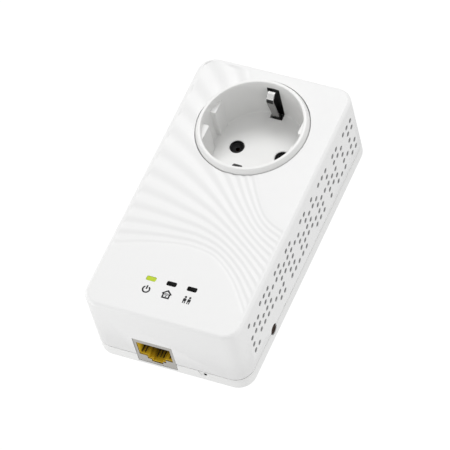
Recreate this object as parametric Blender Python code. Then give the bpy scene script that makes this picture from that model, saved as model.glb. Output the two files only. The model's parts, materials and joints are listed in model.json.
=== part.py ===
"""Powerline network adapter with a pass-through mains socket, as an assembly of separate parts.

Frame: metres, +Z up along the body as it hangs on a wall socket, +Y back into the wall, +X right
seen from the front. The origin is the centre of the plug's face, between its two pins.
"""

import math

import bmesh
import bpy
from mathutils import Matrix, Vector

MM = 0.001
GAP = 0.3 * MM

# Body
BODY_WIDTH = 64.1 * MM
BODY_HEIGHT = 119.0 * MM
BODY_DEPTH = 35.9 * MM
SOCKET_ABOVE_BOTTOM = 92.1 * MM
CORNER_RADIUS = 7.0 * MM
FRONT_EDGE_RADIUS = 1.6 * MM
REAR_EDGE_RADIUS = 3.0 * MM
WALL = 2.0 * MM
SPLIT_FROM_FRONT = 28.75 * MM
LIP = 0.9 * MM
LIP_DEPTH = 2.0 * MM

# Plug
PLUG_DEPTH = 17.5 * MM
PLUG_RADIUS = 18.4 * MM
PLUG_FLAT = 16.2 * MM
PLUG_CAVITY_RADIUS = 14.4 * MM
PLUG_FACE_THICKNESS = 3.0 * MM
PLUG_FLANGE_RADIUS = 21.0 * MM
PIN_SPACING = 19.0 * MM
PIN_RADIUS = 2.4 * MM
PIN_LENGTH = 19.0 * MM
STRIP_WIDTH = 4.0 * MM
STRIP_THICKNESS = 0.8 * MM
PLUG_STRIP_HEIGHT = 16.8 * MM

# Socket
RIM_PROUD = 2.0 * MM
RIM_RADIUS = 22.1 * MM
RIM_TOP_RADIUS = 21.3 * MM
MOUTH_RADIUS = 19.9 * MM
FLOOR_RADIUS = 19.45 * MM
WELL_DEPTH = 18.4 * MM
FLOOR_THICKNESS = 2.2 * MM
BARREL_RADIUS = 21.6 * MM
SOCKET_FLANGE_RADIUS = 24.3 * MM
PIN_HOLE_RADIUS = 2.9 * MM
PAD_FLAT = 17.2 * MM
PAD_HALF_HEIGHT = 9.8 * MM
PAD_GROOVE_HALF = 3.0 * MM
PAD_BELOW_RIM = 3.6 * MM
EARTH_SLOT_HALF_WIDTH = 2.6 * MM
EARTH_SLOT_FROM = 16.3 * MM
EARTH_SLOT_TO = 21.0 * MM
EARTH_SLOT_BELOW_RIM = 2.4 * MM
CLIP_WIDTH = 2.8 * MM
CLIP_PIVOT_Z = 17.8 * MM

# Side vents: five columns of small holes, with some left out in each row
VENT_PITCH_Z = 3.525 * MM
VENT_PITCH_Y = 4.05 * MM
VENT_TOP_BELOW_TOP = 9.0 * MM
VENT_FIRST_FROM_FRONT = 7.2 * MM
VENT_SLANT = -0.018
VENT_RADIUS = 0.95 * MM
VENT_ROWS = (
    "11011 11111 10010 01111 11001 11111 00110 11111 10100 10111 "
    "01111 11011 01110 11110 10111 01111 01001 11111 11111 01100 "
    "11111 11011 01010 11110 11110 10110 01110 01101 10111"
).split()

# Lights, jack and buttons
LIGHT_PITCH = 8.4 * MM
LIGHT_CENTRE_X = -1.0 * MM
LIGHT_ABOVE_BOTTOM = 17.0 * MM
LIGHT_SIZE = (3.6 * MM, 1.6 * MM)
LIGHT_MARGIN = 0.2 * MM
JACK_X = -5.55 * MM
JACK_WIDTH = 15.9 * MM
JACK_FRONT = 17.9 * MM
JACK_HEIGHT = 14.4 * MM
JACK_DEPTH = 20.9 * MM
JACK_RECESS = 0.2 * MM
JACK_SKIN = 0.4 * MM
JACK_CAVITY_FROM_SIDE = 2.3 * MM
JACK_CAVITY_DEPTH = 14.5 * MM
CONTACT_PITCH = 1.02 * MM
BUTTON_ABOVE_BOTTOM = 25.7 * MM
BUTTON_RADIUS = 2.1 * MM
BUTTON_HOLE_RADIUS = 2.4 * MM
RESET_X = 14.3 * MM
RESET_FROM_FRONT = 30.5 * MM
RESET_HOLE_RADIUS = 0.6 * MM

# Boards and screws
BOARD_THICKNESS = 1.0 * MM
SCREW_X = 25.8 * MM
SCREW_FROM_END = 6.3 * MM
POST_RADIUS = 3.2 * MM
BOSS_RADIUS = 4.0 * MM
MAIN_BOARD_FROM_FRONT = 11.2 * MM

# Places worked out from the sizes above
Y_BACK = -PLUG_DEPTH
Y_FRONT = Y_BACK - BODY_DEPTH
Y_SPLIT = Y_FRONT + SPLIT_FROM_FRONT
Y_RIM = Y_FRONT - RIM_PROUD
Y_FLOOR = Y_RIM + WELL_DEPTH
Y_FLOOR_BACK = Y_FLOOR + FLOOR_THICKNESS
Z_BOTTOM = -SOCKET_ABOVE_BOTTOM
Z_TOP = Z_BOTTOM + BODY_HEIGHT
Z_MIDDLE = (Z_BOTTOM + Z_TOP) / 2
Y_POWER_BOARD = Y_BACK - WALL - GAP - BOARD_THICKNESS
Y_ON_POWER_BOARD = Y_POWER_BOARD - GAP
Y_MAIN_BOARD = Y_FRONT + MAIN_BOARD_FROM_FRONT
Y_ON_MAIN_BOARD = Y_MAIN_BOARD - GAP
Z_BUTTON = Z_BOTTOM + BUTTON_ABOVE_BOTTOM
Z_LIGHT = Z_BOTTOM + LIGHT_ABOVE_BOTTOM
Y_JACK = Y_FRONT + JACK_FRONT
Y_RESET = Y_FRONT + RESET_FROM_FRONT
SCREW_PLACES = [
    (side * SCREW_X, z)
    for z in (Z_TOP - SCREW_FROM_END, Z_BOTTOM + SCREW_FROM_END)
    for side in (-1, 1)
]

# name: (red, green, blue, roughness, metallic)
FINISHES = {
    "casing": (0.86, 0.86, 0.85, 0.35, 0.0),
    "socket_plastic": (0.85, 0.85, 0.84, 0.3, 0.0),
    "spring_metal": (0.72, 0.72, 0.7, 0.3, 1.0),
    "nickel": (0.68, 0.67, 0.64, 0.25, 1.0),
    "copper": (0.72, 0.43, 0.28, 0.35, 1.0),
    "gold": (0.83, 0.64, 0.3, 0.25, 1.0),
    "board": (0.05, 0.26, 0.12, 0.5, 0.0),
    "black_plastic": (0.03, 0.03, 0.03, 0.5, 0.0),
    "jack_plastic": (0.75, 0.5, 0.02, 0.45, 0.0),
    "film_box": (0.7, 0.6, 0.15, 0.45, 0.0),
    "varistor_blue": (0.05, 0.15, 0.5, 0.4, 0.0),
    "ferrite": (0.1, 0.1, 0.11, 0.7, 0.0),
    "sleeve": (0.04, 0.05, 0.09, 0.35, 0.0),
    "aluminium": (0.75, 0.76, 0.78, 0.4, 1.0),
    "clear_guide": (0.75, 0.78, 0.72, 0.2, 0.0),
    "dark_guide": (0.02, 0.02, 0.02, 0.2, 0.0),
    "lit_guide": (0.5, 0.75, 0.05, 0.3, 0.0),
    "button_brown": (0.06, 0.035, 0.025, 0.5, 0.0),
    "label": (0.75, 0.76, 0.77, 0.5, 0.0),
}


def clear_scene():
    for obj in list(bpy.data.objects):
        bpy.data.objects.remove(obj, do_unlink=True)


def material(name):
    found = bpy.data.materials.get(name)
    if found:
        return found
    red, green, blue, roughness, metallic = FINISHES[name]
    made = bpy.data.materials.new(name)
    made.use_nodes = True
    shader = made.node_tree.nodes["Principled BSDF"]
    shader.inputs["Base Color"].default_value = (red, green, blue, 1)
    shader.inputs["Roughness"].default_value = roughness
    shader.inputs["Metallic"].default_value = metallic
    return made


def add_object(name, shape, finish, origin=(0, 0, 0)):
    """Turns a bmesh in world coordinates into an object whose origin is at the given point."""
    bmesh.ops.recalc_face_normals(shape, faces=shape.faces)
    bmesh.ops.translate(shape, verts=shape.verts, vec=-Vector(origin))
    mesh = bpy.data.meshes.new(name)
    shape.to_mesh(mesh)
    shape.free()
    mesh.shade_smooth()
    mesh.set_sharp_from_angle(angle=math.radians(35))
    if finish:
        mesh.materials.append(material(finish))
    obj = bpy.data.objects.new(name, mesh)
    obj.location = origin
    bpy.context.scene.collection.objects.link(obj)
    return obj


# Shapes, each returned as a bmesh in world coordinates


def join(*shapes):
    """One bmesh holding several that don't meet."""
    whole = shapes[0]
    for shape in shapes[1:]:
        mesh = bpy.data.meshes.new("part_of_shape")
        shape.to_mesh(mesh)
        whole.from_mesh(mesh)
        shape.free()
        bpy.data.meshes.remove(mesh)
    return whole


def box(x, y, z):
    """A box from three (low, high) pairs."""
    shape = bmesh.new()
    corners = [[shape.verts.new((a, b, c)) for b in y for a in x] for c in z]
    low, high = corners
    order = (0, 1, 3, 2)
    shape.faces.new([low[i] for i in order])
    shape.faces.new([high[i] for i in order])
    for i in range(4):
        a, b = order[i], order[(i + 1) % 4]
        shape.faces.new([low[a], low[b], high[b], high[a]])
    bmesh.ops.recalc_face_normals(shape, faces=shape.faces)
    return shape


def lofted(loops, closed_chain=False):
    """A solid skinned over loops of equal length. Its ends are capped, or joined to each other."""
    shape = bmesh.new()
    rings = [[shape.verts.new(point) for point in loop] for loop in loops]
    pairs = list(zip(rings, rings[1:]))
    if closed_chain:
        pairs.append((rings[-1], rings[0]))
    for first, second in pairs:
        for i in range(len(first)):
            j = (i + 1) % len(first)
            shape.faces.new([first[i], first[j], second[j], second[i]])
    if not closed_chain:
        shape.faces.new(rings[0])
        shape.faces.new(rings[-1])
    bmesh.ops.recalc_face_normals(shape, faces=shape.faces)
    return shape


def extruded(outline, low, high, axis="Y"):
    """A prism from an outline: (x, z) points along Y, or (y, z) points along X."""
    if axis == "Y":
        return lofted([[(a, end, b) for a, b in outline] for end in (low, high)])
    return lofted([[(end, a, b) for a, b in outline] for end in (low, high)])


def circle(radius, sides, centre=(0, 0), turn=0.0):
    angles = [turn + math.tau * i / sides for i in range(sides)]
    return [(centre[0] + radius * math.cos(a), centre[1] + radius * math.sin(a)) for a in angles]


def rod_along_y(x, z, radius, low, high, sides=16):
    return extruded(circle(radius, sides, (x, z)), low, high)


def rod_along_x(y, z, radius, low, high, sides=16):
    return extruded(circle(radius, sides, (y, z)), low, high, "X")


def rod_along_z(x, y, radius, low, high, sides=12):
    return lofted([[(a, b, end) for a, b in circle(radius, sides, (x, y))] for end in (low, high)])


def turned(profile, sides, x=0.0, z=0.0):
    """A solid of revolution about the Y axis through (x, z), from (radius, y) points off the axis."""
    loops = [[(x + a, y, z + b) for a, b in circle(radius, sides)] for radius, y in profile]
    return lofted(loops)


def rounded_rectangle(half_width, half_height, radius, centre_z, steps=5):
    points = []
    for quarter in range(4):
        side_x = (1, -1, -1, 1)[quarter]
        side_z = (1, 1, -1, -1)[quarter]
        for i in range(steps + 1):
            angle = math.pi / 2 * (quarter + i / steps)
            x = side_x * (half_width - radius) + radius * math.cos(angle)
            z = side_z * (half_height - radius) + radius * math.sin(angle)
            points.append((x, centre_z + z))
    return points


def body_loop(inset, y):
    outline = rounded_rectangle(
        BODY_WIDTH / 2 - inset,
        BODY_HEIGHT / 2 - inset,
        max(CORNER_RADIUS - inset, 1.5 * MM),
        Z_MIDDLE,
    )
    return [(x, y, z) for x, z in outline]


def fillet_loops(radius, y_face, direction, steps=3):
    """Loops that round the body's edge from its flat face at y_face out to its side wall."""
    loops = []
    for i in range(steps + 1):
        angle = math.pi / 2 * i / steps
        inset = radius * (1 - math.sin(angle))
        loops.append(body_loop(inset, y_face + direction * radius * (1 - math.cos(angle))))
    return loops


def bent_strip(points, thickness, half_width):
    """A flat strip bent along (y, z) points, as wide as twice half_width along X."""
    sides = [[], []]
    for i, point in enumerate(points):
        before = Vector(points[max(i - 1, 0)])
        after = Vector(points[min(i + 1, len(points) - 1)])
        along = [v.normalized() for v in (Vector(point) - before, after - Vector(point)) if v.length]
        normals = [Vector((-v.y, v.x)) for v in along]
        mitre = sum(normals, Vector((0, 0))).normalized()
        reach = thickness / 2 / mitre.dot(normals[0])
        sides[0].append(Vector(point) + mitre * reach)
        sides[1].append(Vector(point) - mitre * reach)
    outline = [tuple(p) for p in sides[0] + sides[1][::-1]]
    return extruded(outline, -half_width, half_width, "X")


def moved(shape, x=0.0, y=0.0, z=0.0):
    bmesh.ops.translate(shape, verts=shape.verts, vec=(x, y, z))
    return shape


def flipped_z(shape):
    """The same shape mirrored top to bottom."""
    bmesh.ops.transform(shape, matrix=Matrix.Scale(-1, 4, (0, 0, 1)), verts=shape.verts)
    bmesh.ops.recalc_face_normals(shape, faces=shape.faces)
    return shape


def combine(obj, shape, operation):
    """Adds a helper object with this shape and an exact Boolean that uses it."""
    helper = add_object(f"{obj.name}_{operation.lower()}_{len(obj.modifiers)}", shape, None)
    helper.hide_render = True
    helper.display_type = "WIRE"
    boolean = obj.modifiers.new(operation.title(), "BOOLEAN")
    boolean.operation = operation
    boolean.object = helper
    boolean.solver = "EXACT"


def cut(obj, *shapes):
    for shape in shapes:
        combine(obj, shape, "DIFFERENCE")


def fuse(obj, *shapes):
    for shape in shapes:
        combine(obj, shape, "UNION")


# Casing


def jack_opening():
    half = JACK_WIDTH / 2 + GAP
    return box(
        (JACK_X - half, JACK_X + half),
        (Y_JACK - GAP, Y_JACK + JACK_HEIGHT + GAP),
        (Z_BOTTOM - WALL, Z_BOTTOM + 2 * WALL),
    )


def button_opening():
    half = BODY_WIDTH / 2
    return rod_along_x(Y_SPLIT, Z_BUTTON, BUTTON_HOLE_RADIUS, half - 2 * WALL, half + WALL)


def vent_bars():
    """Bars right through the body, one for each pair of holes in the two side walls."""
    reach = BODY_WIDTH / 2 + WALL
    bars = []
    for row, pattern in enumerate(VENT_ROWS):
        drop = row * VENT_PITCH_Z
        for column, mark in enumerate(pattern):
            if mark == "1":
                y = Y_FRONT + VENT_FIRST_FROM_FRONT + column * VENT_PITCH_Y + VENT_SLANT * drop
                z = Z_TOP - VENT_TOP_BELOW_TOP - drop
                outline = circle(VENT_RADIUS, 4, (y, z))
                bars.append(extruded(outline, -reach, reach, "X"))
    return join(*bars)


def light_openings():
    half_x = LIGHT_SIZE[0] / 2 + LIGHT_MARGIN
    half_z = LIGHT_SIZE[1] / 2 + LIGHT_MARGIN
    y = (Y_FRONT - WALL, Y_FRONT + 2 * WALL)
    z = (Z_LIGHT - half_z, Z_LIGHT + half_z)
    return join(*[box((x - half_x, x + half_x), y, z) for x in light_centres()])


def light_centres():
    return [LIGHT_CENTRE_X + (i - 1) * LIGHT_PITCH for i in range(3)]


def front_shell():
    edge = Y_SPLIT - GAP / 2
    loops = fillet_loops(FRONT_EDGE_RADIUS, Y_FRONT, 1)
    loops += [
        body_loop(0, edge),
        body_loop(LIP, edge),
        body_loop(LIP, edge - LIP_DEPTH),
        body_loop(WALL, edge - LIP_DEPTH),
        body_loop(WALL, Y_FRONT + WALL),
    ]
    shell = add_object("front_shell", lofted(loops), "casing")
    post_end = Y_BACK - WALL - 4 * MM - GAP
    posts = [rod_along_y(x, z, POST_RADIUS, Y_FRONT + WALL / 2, post_end, 12) for x, z in SCREW_PLACES]
    pilots = [
        rod_along_y(x, z, 1.45 * MM + GAP, Y_FRONT + 2 * WALL, post_end + WALL, 10)
        for x, z in SCREW_PLACES
    ]
    fuse(shell, join(*posts))
    cut(shell, join(*pilots))
    cut(shell, rod_along_y(0, 0, RIM_RADIUS + GAP, Y_FRONT - WALL, Y_FRONT + 2 * WALL, 48))
    cut(shell, light_openings(), jack_opening(), button_opening(), vent_bars())


def rear_shell():
    edge = Y_SPLIT + GAP / 2
    lip_outer = LIP + GAP
    loops = fillet_loops(REAR_EDGE_RADIUS, Y_BACK, -1, 4)
    loops += [
        body_loop(0, edge),
        body_loop(lip_outer, edge),
        body_loop(lip_outer, Y_SPLIT - LIP_DEPTH + GAP),
        body_loop(WALL, Y_SPLIT - LIP_DEPTH + GAP),
        body_loop(WALL, Y_BACK - WALL),
    ]
    shell = add_object("rear_shell", lofted(loops), "casing")
    inner = Y_BACK - WALL
    bosses = [rod_along_y(x, z, BOSS_RADIUS, inner - 4 * MM, inner + WALL / 2, 16) for x, z in SCREW_PLACES]
    bores = [rod_along_y(x, z, 1.45 * MM + GAP, inner - 6 * MM, Y_BACK + WALL, 10) for x, z in SCREW_PLACES]
    heads = [rod_along_y(x, z, 3.1 * MM, Y_BACK - 2.6 * MM, Y_BACK + WALL, 16) for x, z in SCREW_PLACES]
    fuse(shell, join(*bosses))
    cut(shell, join(*bores), join(*heads))
    cut(shell, rod_along_y(0, 0, PLUG_RADIUS + 0.5 * MM, inner - WALL, Y_BACK + WALL, 40))
    cut(shell, jack_opening(), button_opening())
    cut(shell, rod_along_z(RESET_X, Y_RESET, RESET_HOLE_RADIUS, Z_BOTTOM - WALL, Z_BOTTOM + 2 * WALL, 10))
    cut(shell, label_recess())


def label_recess():
    x, z = label_area(GAP)
    return box(x, (Y_BACK - 0.6 * MM, Y_BACK + WALL), z)


def label_area(margin):
    x = 22 * MM + margin
    return (-x, x), (Z_BOTTOM + 12 * MM - margin, Z_BOTTOM + 62 * MM + margin)


def rating_label():
    x, z = label_area(0)
    add_object("rating_label", box(x, (Y_BACK - 0.3 * MM, Y_BACK - 0.1 * MM), z), "label")


def screws():
    under_head = Y_BACK - 2.6 * MM + GAP
    for number, (x, z) in enumerate(SCREW_PLACES, 1):
        profile = [
            (1.0 * MM, under_head - 16 * MM),
            (1.45 * MM, under_head - 15 * MM),
            (1.45 * MM, under_head),
            (2.7 * MM, under_head),
            (2.7 * MM, under_head + 1.3 * MM),
            (2.0 * MM, under_head + 1.9 * MM),
        ]
        screw = add_object(f"screw_{number}", turned(profile, 14, x, z), "nickel", (x, under_head, z))
        slots = (0.35 * MM, 1.6 * MM), (1.6 * MM, 0.35 * MM)
        for half_x, half_z in slots:
            slot = box(
                (x - half_x, x + half_x),
                (under_head + 1.0 * MM, under_head + 3 * MM),
                (z - half_z, z + half_z),
            )
            cut(screw, slot)


# Socket


def socket_pads():
    """The two flat-faced pads at the sides of the well, each split by a groove."""
    outer = (MOUTH_RADIUS + BARREL_RADIUS) / 2
    pads = []
    for side in (-1, 1):
        for half in (-1, 1):
            angles = [math.asin(h / outer) for h in (PAD_HALF_HEIGHT, PAD_GROOVE_HALF)]
            steps = [angles[0] + (angles[1] - angles[0]) * i / 3 for i in range(4)]
            arc = [(outer * math.cos(a), outer * math.sin(a)) for a in steps]
            outline = [(PAD_FLAT, PAD_GROOVE_HALF), (PAD_FLAT, PAD_HALF_HEIGHT)] + arc
            outline = [(side * x, half * z) for x, z in outline]
            pads.append(extruded(outline, Y_RIM + PAD_BELOW_RIM, Y_FLOOR + FLOOR_THICKNESS / 2))
    return join(*pads)


def socket_insert():
    flange = Y_FRONT + WALL + GAP
    profile = [
        (FLOOR_RADIUS, Y_FLOOR),
        (MOUTH_RADIUS, Y_RIM + 0.5 * MM),
        (MOUTH_RADIUS + 0.12 * MM, Y_RIM + 0.15 * MM),
        (MOUTH_RADIUS + 0.4 * MM, Y_RIM),
        (RIM_TOP_RADIUS - 0.3 * MM, Y_RIM),
        (RIM_TOP_RADIUS, Y_RIM + 0.3 * MM),
        (RIM_RADIUS, Y_FRONT),
        (RIM_RADIUS, flange),
        (SOCKET_FLANGE_RADIUS, flange),
        (SOCKET_FLANGE_RADIUS, flange + 1.5 * MM),
        (BARREL_RADIUS, flange + 1.5 * MM),
        (BARREL_RADIUS, Y_FLOOR_BACK),
    ]
    insert = add_object("socket_insert", turned(profile, 48), "socket_plastic")
    fuse(insert, socket_pads())
    slots = []
    x = (-EARTH_SLOT_HALF_WIDTH, EARTH_SLOT_HALF_WIDTH)
    y = (Y_RIM + EARTH_SLOT_BELOW_RIM, Y_FLOOR_BACK + WALL)
    for side in (-1, 1):
        z = sorted((side * EARTH_SLOT_FROM, side * EARTH_SLOT_TO))
        slots.append(box(x, y, z))
    holes = [
        rod_along_y(side * PIN_SPACING / 2, 0, PIN_HOLE_RADIUS, Y_FLOOR - WALL, Y_FLOOR_BACK + WALL, 20)
        for side in (-1, 1)
    ]
    cut(insert, join(*slots), join(*holes))


def earth_clips():
    """Sprung strips along the well's wall. Each bends about its root, just behind the floor."""
    foot_y = Y_FLOOR_BACK + 1.0 * MM
    path = [
        (foot_y, 13.6 * MM),
        (foot_y, CLIP_PIVOT_Z),
        (Y_RIM + 5.6 * MM, 15.6 * MM),
        (Y_RIM + 4.2 * MM, 16.2 * MM),
        (Y_RIM + 2.9 * MM, 17.8 * MM),
    ]
    for name, flip in (("earth_clip_upper", False), ("earth_clip_lower", True)):
        shape = bent_strip(path, STRIP_THICKNESS, CLIP_WIDTH / 2)
        side = 1
        if flip:
            shape = flipped_z(shape)
            side = -1
        add_object(name, shape, "spring_metal", (0, foot_y, side * CLIP_PIVOT_Z))


def earth_bridge():
    y = Y_FLOOR_BACK + 1.0 * MM + STRIP_THICKNESS / 2 + GAP
    bar = box((-2.5 * MM, 2.5 * MM), (y, y + STRIP_THICKNESS), (-18 * MM, 18 * MM))
    add_object("earth_bridge", bar, "spring_metal")


def contact_end():
    return Y_BACK + 2.5 * MM


def socket_contacts():
    front = Y_FLOOR_BACK + GAP
    for name, side in (("socket_contact_left", -1), ("socket_contact_right", 1)):
        x = side * PIN_SPACING / 2
        outer = 3.4 * MM
        shape = rod_along_y(x, 0, outer, front, contact_end(), 16)
        tube = add_object(name, shape, "copper", (x, front, 0))
        cut(tube, rod_along_y(x, 0, 2.65 * MM, front - WALL, contact_end() - 1.5 * MM, 16))
        cut(tube, box((x - 2 * outer, x + 2 * outer), (front - WALL, front + 12 * MM), (-0.5 * MM, 0.5 * MM)))


def mains_leads():
    """Straps from beside the contacts down to the top of the power board."""
    for name, side in (("live_lead", -1), ("neutral_lead", 1)):
        x = sorted((side * 13.5 * MM, side * 14.3 * MM))
        y = (Y_ON_POWER_BOARD - 5.4 * MM, Y_ON_POWER_BOARD - 1.4 * MM)
        strap = add_object(name, box(x, y, (-31 * MM, 3 * MM)), "copper")
        fuse(strap, box(x, (y[0], Y_ON_POWER_BOARD), (-31 * MM, -29 * MM)))


# Plug


def plug_body():
    inner = Y_BACK - WALL - GAP
    profile = [
        (PLUG_RADIUS - 1.2 * MM, 0),
        (PLUG_RADIUS - 0.35 * MM, -0.35 * MM),
        (PLUG_RADIUS, -1.2 * MM),
        (PLUG_RADIUS, inner),
        (PLUG_FLANGE_RADIUS, inner),
        (PLUG_FLANGE_RADIUS, inner - 1.5 * MM),
        (PLUG_CAVITY_RADIUS, inner - 1.5 * MM),
        (PLUG_CAVITY_RADIUS, -PLUG_FACE_THICKNESS),
    ]
    body = add_object("plug_body", turned(profile, 40), "casing")
    pin_holes = [
        rod_along_y(side * PIN_SPACING / 2, 0, PIN_RADIUS + GAP, -2 * PLUG_FACE_THICKNESS, WALL, 16)
        for side in (-1, 1)
    ]
    flats, slots = [], []
    for side in (-1, 1):
        x = sorted((side * PLUG_FLAT, side * PLUG_FLANGE_RADIUS))
        flats.append(box(x, (Y_BACK, WALL), (-10 * MM, 10 * MM)))
        z = sorted((side * (PLUG_STRIP_HEIGHT - 0.9 * MM), side * (PLUG_FLANGE_RADIUS + WALL)))
        half = STRIP_WIDTH / 2 + GAP
        slots.append(box((-half, half), (inner - 2 * WALL, -0.9 * MM), z))
    cut(body, join(*pin_holes), join(*flats), join(*slots))


def plug_pins():
    for name, side in (("plug_pin_left", -1), ("plug_pin_right", 1)):
        x = side * PIN_SPACING / 2
        profile = [
            (PIN_RADIUS, contact_end() + GAP),
            (PIN_RADIUS, PIN_LENGTH - 1.6 * MM),
            (PIN_RADIUS - 0.35 * MM, PIN_LENGTH - 0.7 * MM),
            (PIN_RADIUS - 1.2 * MM, PIN_LENGTH),
        ]
        add_object(name, turned(profile, 20, x), "nickel", (x, 0, 0))


def plug_earth_strips():
    start = Y_FLOOR_BACK + 1.0 * MM + 1.5 * STRIP_THICKNESS + 2 * GAP
    path = [(start, PLUG_STRIP_HEIGHT), (-3.5 * MM, PLUG_STRIP_HEIGHT), (-1.4 * MM, PLUG_STRIP_HEIGHT)]
    for name, flip in (("plug_earth_strip_upper", False), ("plug_earth_strip_lower", True)):
        shape = bent_strip(path, STRIP_THICKNESS, STRIP_WIDTH / 2)
        if flip:
            shape = flipped_z(shape)
        add_object(name, shape, "nickel")


# Boards


def boards():
    z = (Z_BOTTOM + WALL + 1.0 * MM, -26.5 * MM)
    power = add_object(
        "power_board",
        box((-28.8 * MM, 28.8 * MM), (Y_POWER_BOARD, Y_POWER_BOARD + BOARD_THICKNESS), z),
        "board",
    )
    notches = [
        rod_along_y(x, place_z, BOSS_RADIUS + 0.5 * MM, Y_POWER_BOARD - WALL, Y_BACK, 16)
        for x, place_z in SCREW_PLACES[2:]
    ]
    cut(power, join(*notches))
    z = (Z_BOTTOM + 8 * MM, -27 * MM)
    y = (Y_MAIN_BOARD, Y_MAIN_BOARD + BOARD_THICKNESS)
    add_object("main_board", box((-23 * MM, 23 * MM), y, z), "board")


def on_power_board(name, x, z, height, finish):
    """A block standing on the power board, from (low, high) pairs and its height."""
    return add_object(name, box(x, (Y_ON_POWER_BOARD - height, Y_ON_POWER_BOARD), z), finish)


def on_main_board(name, x, z, height, finish):
    return add_object(name, box(x, (Y_ON_MAIN_BOARD - height, Y_ON_MAIN_BOARD), z), finish)


def board_header():
    y = (Y_MAIN_BOARD + BOARD_THICKNESS + GAP, Y_ON_POWER_BOARD)
    add_object("board_header", box((-8 * MM, 8 * MM), y, (-60 * MM, -57.5 * MM)), "black_plastic")


def transformer():
    low, high = Y_ON_POWER_BOARD - 17 * MM, Y_ON_POWER_BOARD
    x, z = 2 * MM, -45 * MM
    core = add_object(
        "transformer_core",
        box((x - 10 * MM, x + 10 * MM), (low, high), (z - 5 * MM, z + 5 * MM)),
        "ferrite",
    )
    for side in (-1, 1):
        window = sorted((x + side * 2.7 * MM, x + side * 7 * MM))
        cut(core, box(window, (low + 3 * MM, high - 3 * MM), (z - 6 * MM, z + 6 * MM)))
    outer = rounded_rectangle(6.7 * MM, 9.0 * MM, 2.5 * MM, z, 3)
    inner = rounded_rectangle(3.0 * MM, 5.3 * MM, 0.3 * MM, z, 3)
    y = (low + 3.3 * MM, high - 3.3 * MM)
    loops = [[(x + a, end, b) for a, b in outer] for end in y]
    loops += [[(x + a, end, b) for a, b in inner] for end in y[::-1]]
    add_object("transformer_winding", lofted(loops, True), "film_box")


def ring_section(half_width, half_height, turn, major, centre):
    """The corners of a rectangular section of a ring that lies flat on the board."""
    x, y, z = centre
    points = []
    for a, b in ((-1, -1), (1, -1), (1, 1), (-1, 1)):
        radius = major + a * half_width
        points.append((x + radius * math.cos(turn), y + b * half_height, z + radius * math.sin(turn)))
    return points


def choke():
    """A ring core with a copper winding that covers most of it as a sleeve."""
    centre = (20.4 * MM, Y_ON_POWER_BOARD - 4.4 * MM, -50.5 * MM)
    major, steps = 4.6 * MM, 24
    core = [ring_section(1.5 * MM, 3.0 * MM, math.tau * i / steps, major, centre) for i in range(steps)]
    add_object("choke_core", lofted(core, True), "ferrite")
    turns = [math.radians(30 + 300 * i / 20) for i in range(21)]
    shape = bmesh.new()
    outer = [ring_section(2.6 * MM, 4.1 * MM, turn, major, centre) for turn in turns]
    inner = [ring_section(1.8 * MM, 3.3 * MM, turn, major, centre) for turn in turns]
    skins = [[[shape.verts.new(p) for p in loop] for loop in skin] for skin in (outer, inner)]
    for skin in skins:
        for first, second in zip(skin, skin[1:]):
            for i in range(4):
                j = (i + 1) % 4
                shape.faces.new([first[i], first[j], second[j], second[i]])
    for end in (0, -1):
        for i in range(4):
            j = (i + 1) % 4
            shape.faces.new([skins[0][end][i], skins[0][end][j], skins[1][end][j], skins[1][end][i]])
    add_object("choke_winding", shape, "copper")


def power_parts():
    on_power_board("x_capacitor", (-26.5 * MM, -9.0 * MM), (-53.5 * MM, -45.5 * MM), 14 * MM, "film_box")
    x, z = (-25 * MM, -14 * MM), (-64.5 * MM, -55.5 * MM)
    on_power_board("coupling_transformer", x, z, 9 * MM, "black_plastic")
    x, z = (-26 * MM, -15.5 * MM), (-81 * MM, -67 * MM)
    on_power_board("ethernet_magnetics", x, z, 6 * MM, "black_plastic")
    top = Y_ON_POWER_BOARD
    profile = [
        (5.8 * MM, top),
        (6.3 * MM, top - 0.6 * MM),
        (6.3 * MM, top - 18.6 * MM),
        (5.6 * MM, top - 19.2 * MM),
    ]
    place = (-20 * MM, -36.5 * MM)
    add_object("bulk_capacitor", turned(profile, 20, *place), "sleeve")
    disc = rod_along_z(20 * MM, top - 6.2 * MM, 5.2 * MM, -40.5 * MM, -36.8 * MM, 18)
    add_object("varistor", disc, "varistor_blue")
    fuse_tube = rod_along_x(top - 2.9 * MM, -32.0 * MM, 2.6 * MM, 16 * MM, 25.5 * MM, 14)
    add_object("fuse", fuse_tube, "black_plastic")
    transformer()
    choke()


def logic_parts():
    on_main_board("processor", (-7 * MM, 7 * MM), (-52 * MM, -38 * MM), 1.2 * MM, "black_plastic")
    on_main_board("memory_chip", (11 * MM, 20 * MM), (-50 * MM, -38 * MM), 1.1 * MM, "black_plastic")
    on_main_board("crystal", (-19 * MM, -12 * MM), (-46 * MM, -42.5 * MM), 2.6 * MM, "aluminium")
    base = Y_ON_MAIN_BOARD - 1.2 * MM - GAP
    fin_gap = 2.6 * MM
    sink = add_object(
        "heat_sink",
        box((-8 * MM, 8 * MM), (base - 5.0 * MM, base), (-53 * MM, -37 * MM)),
        "aluminium",
    )
    valleys = []
    for i in range(4):
        x = (i - 1.5) * (fin_gap + 1.3 * MM)
        valley = (x - fin_gap / 2, x + fin_gap / 2)
        valleys.append(box(valley, (base - 6 * MM, base - 1.4 * MM), (-54 * MM, -36 * MM)))
    cut(sink, join(*valleys))


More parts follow.
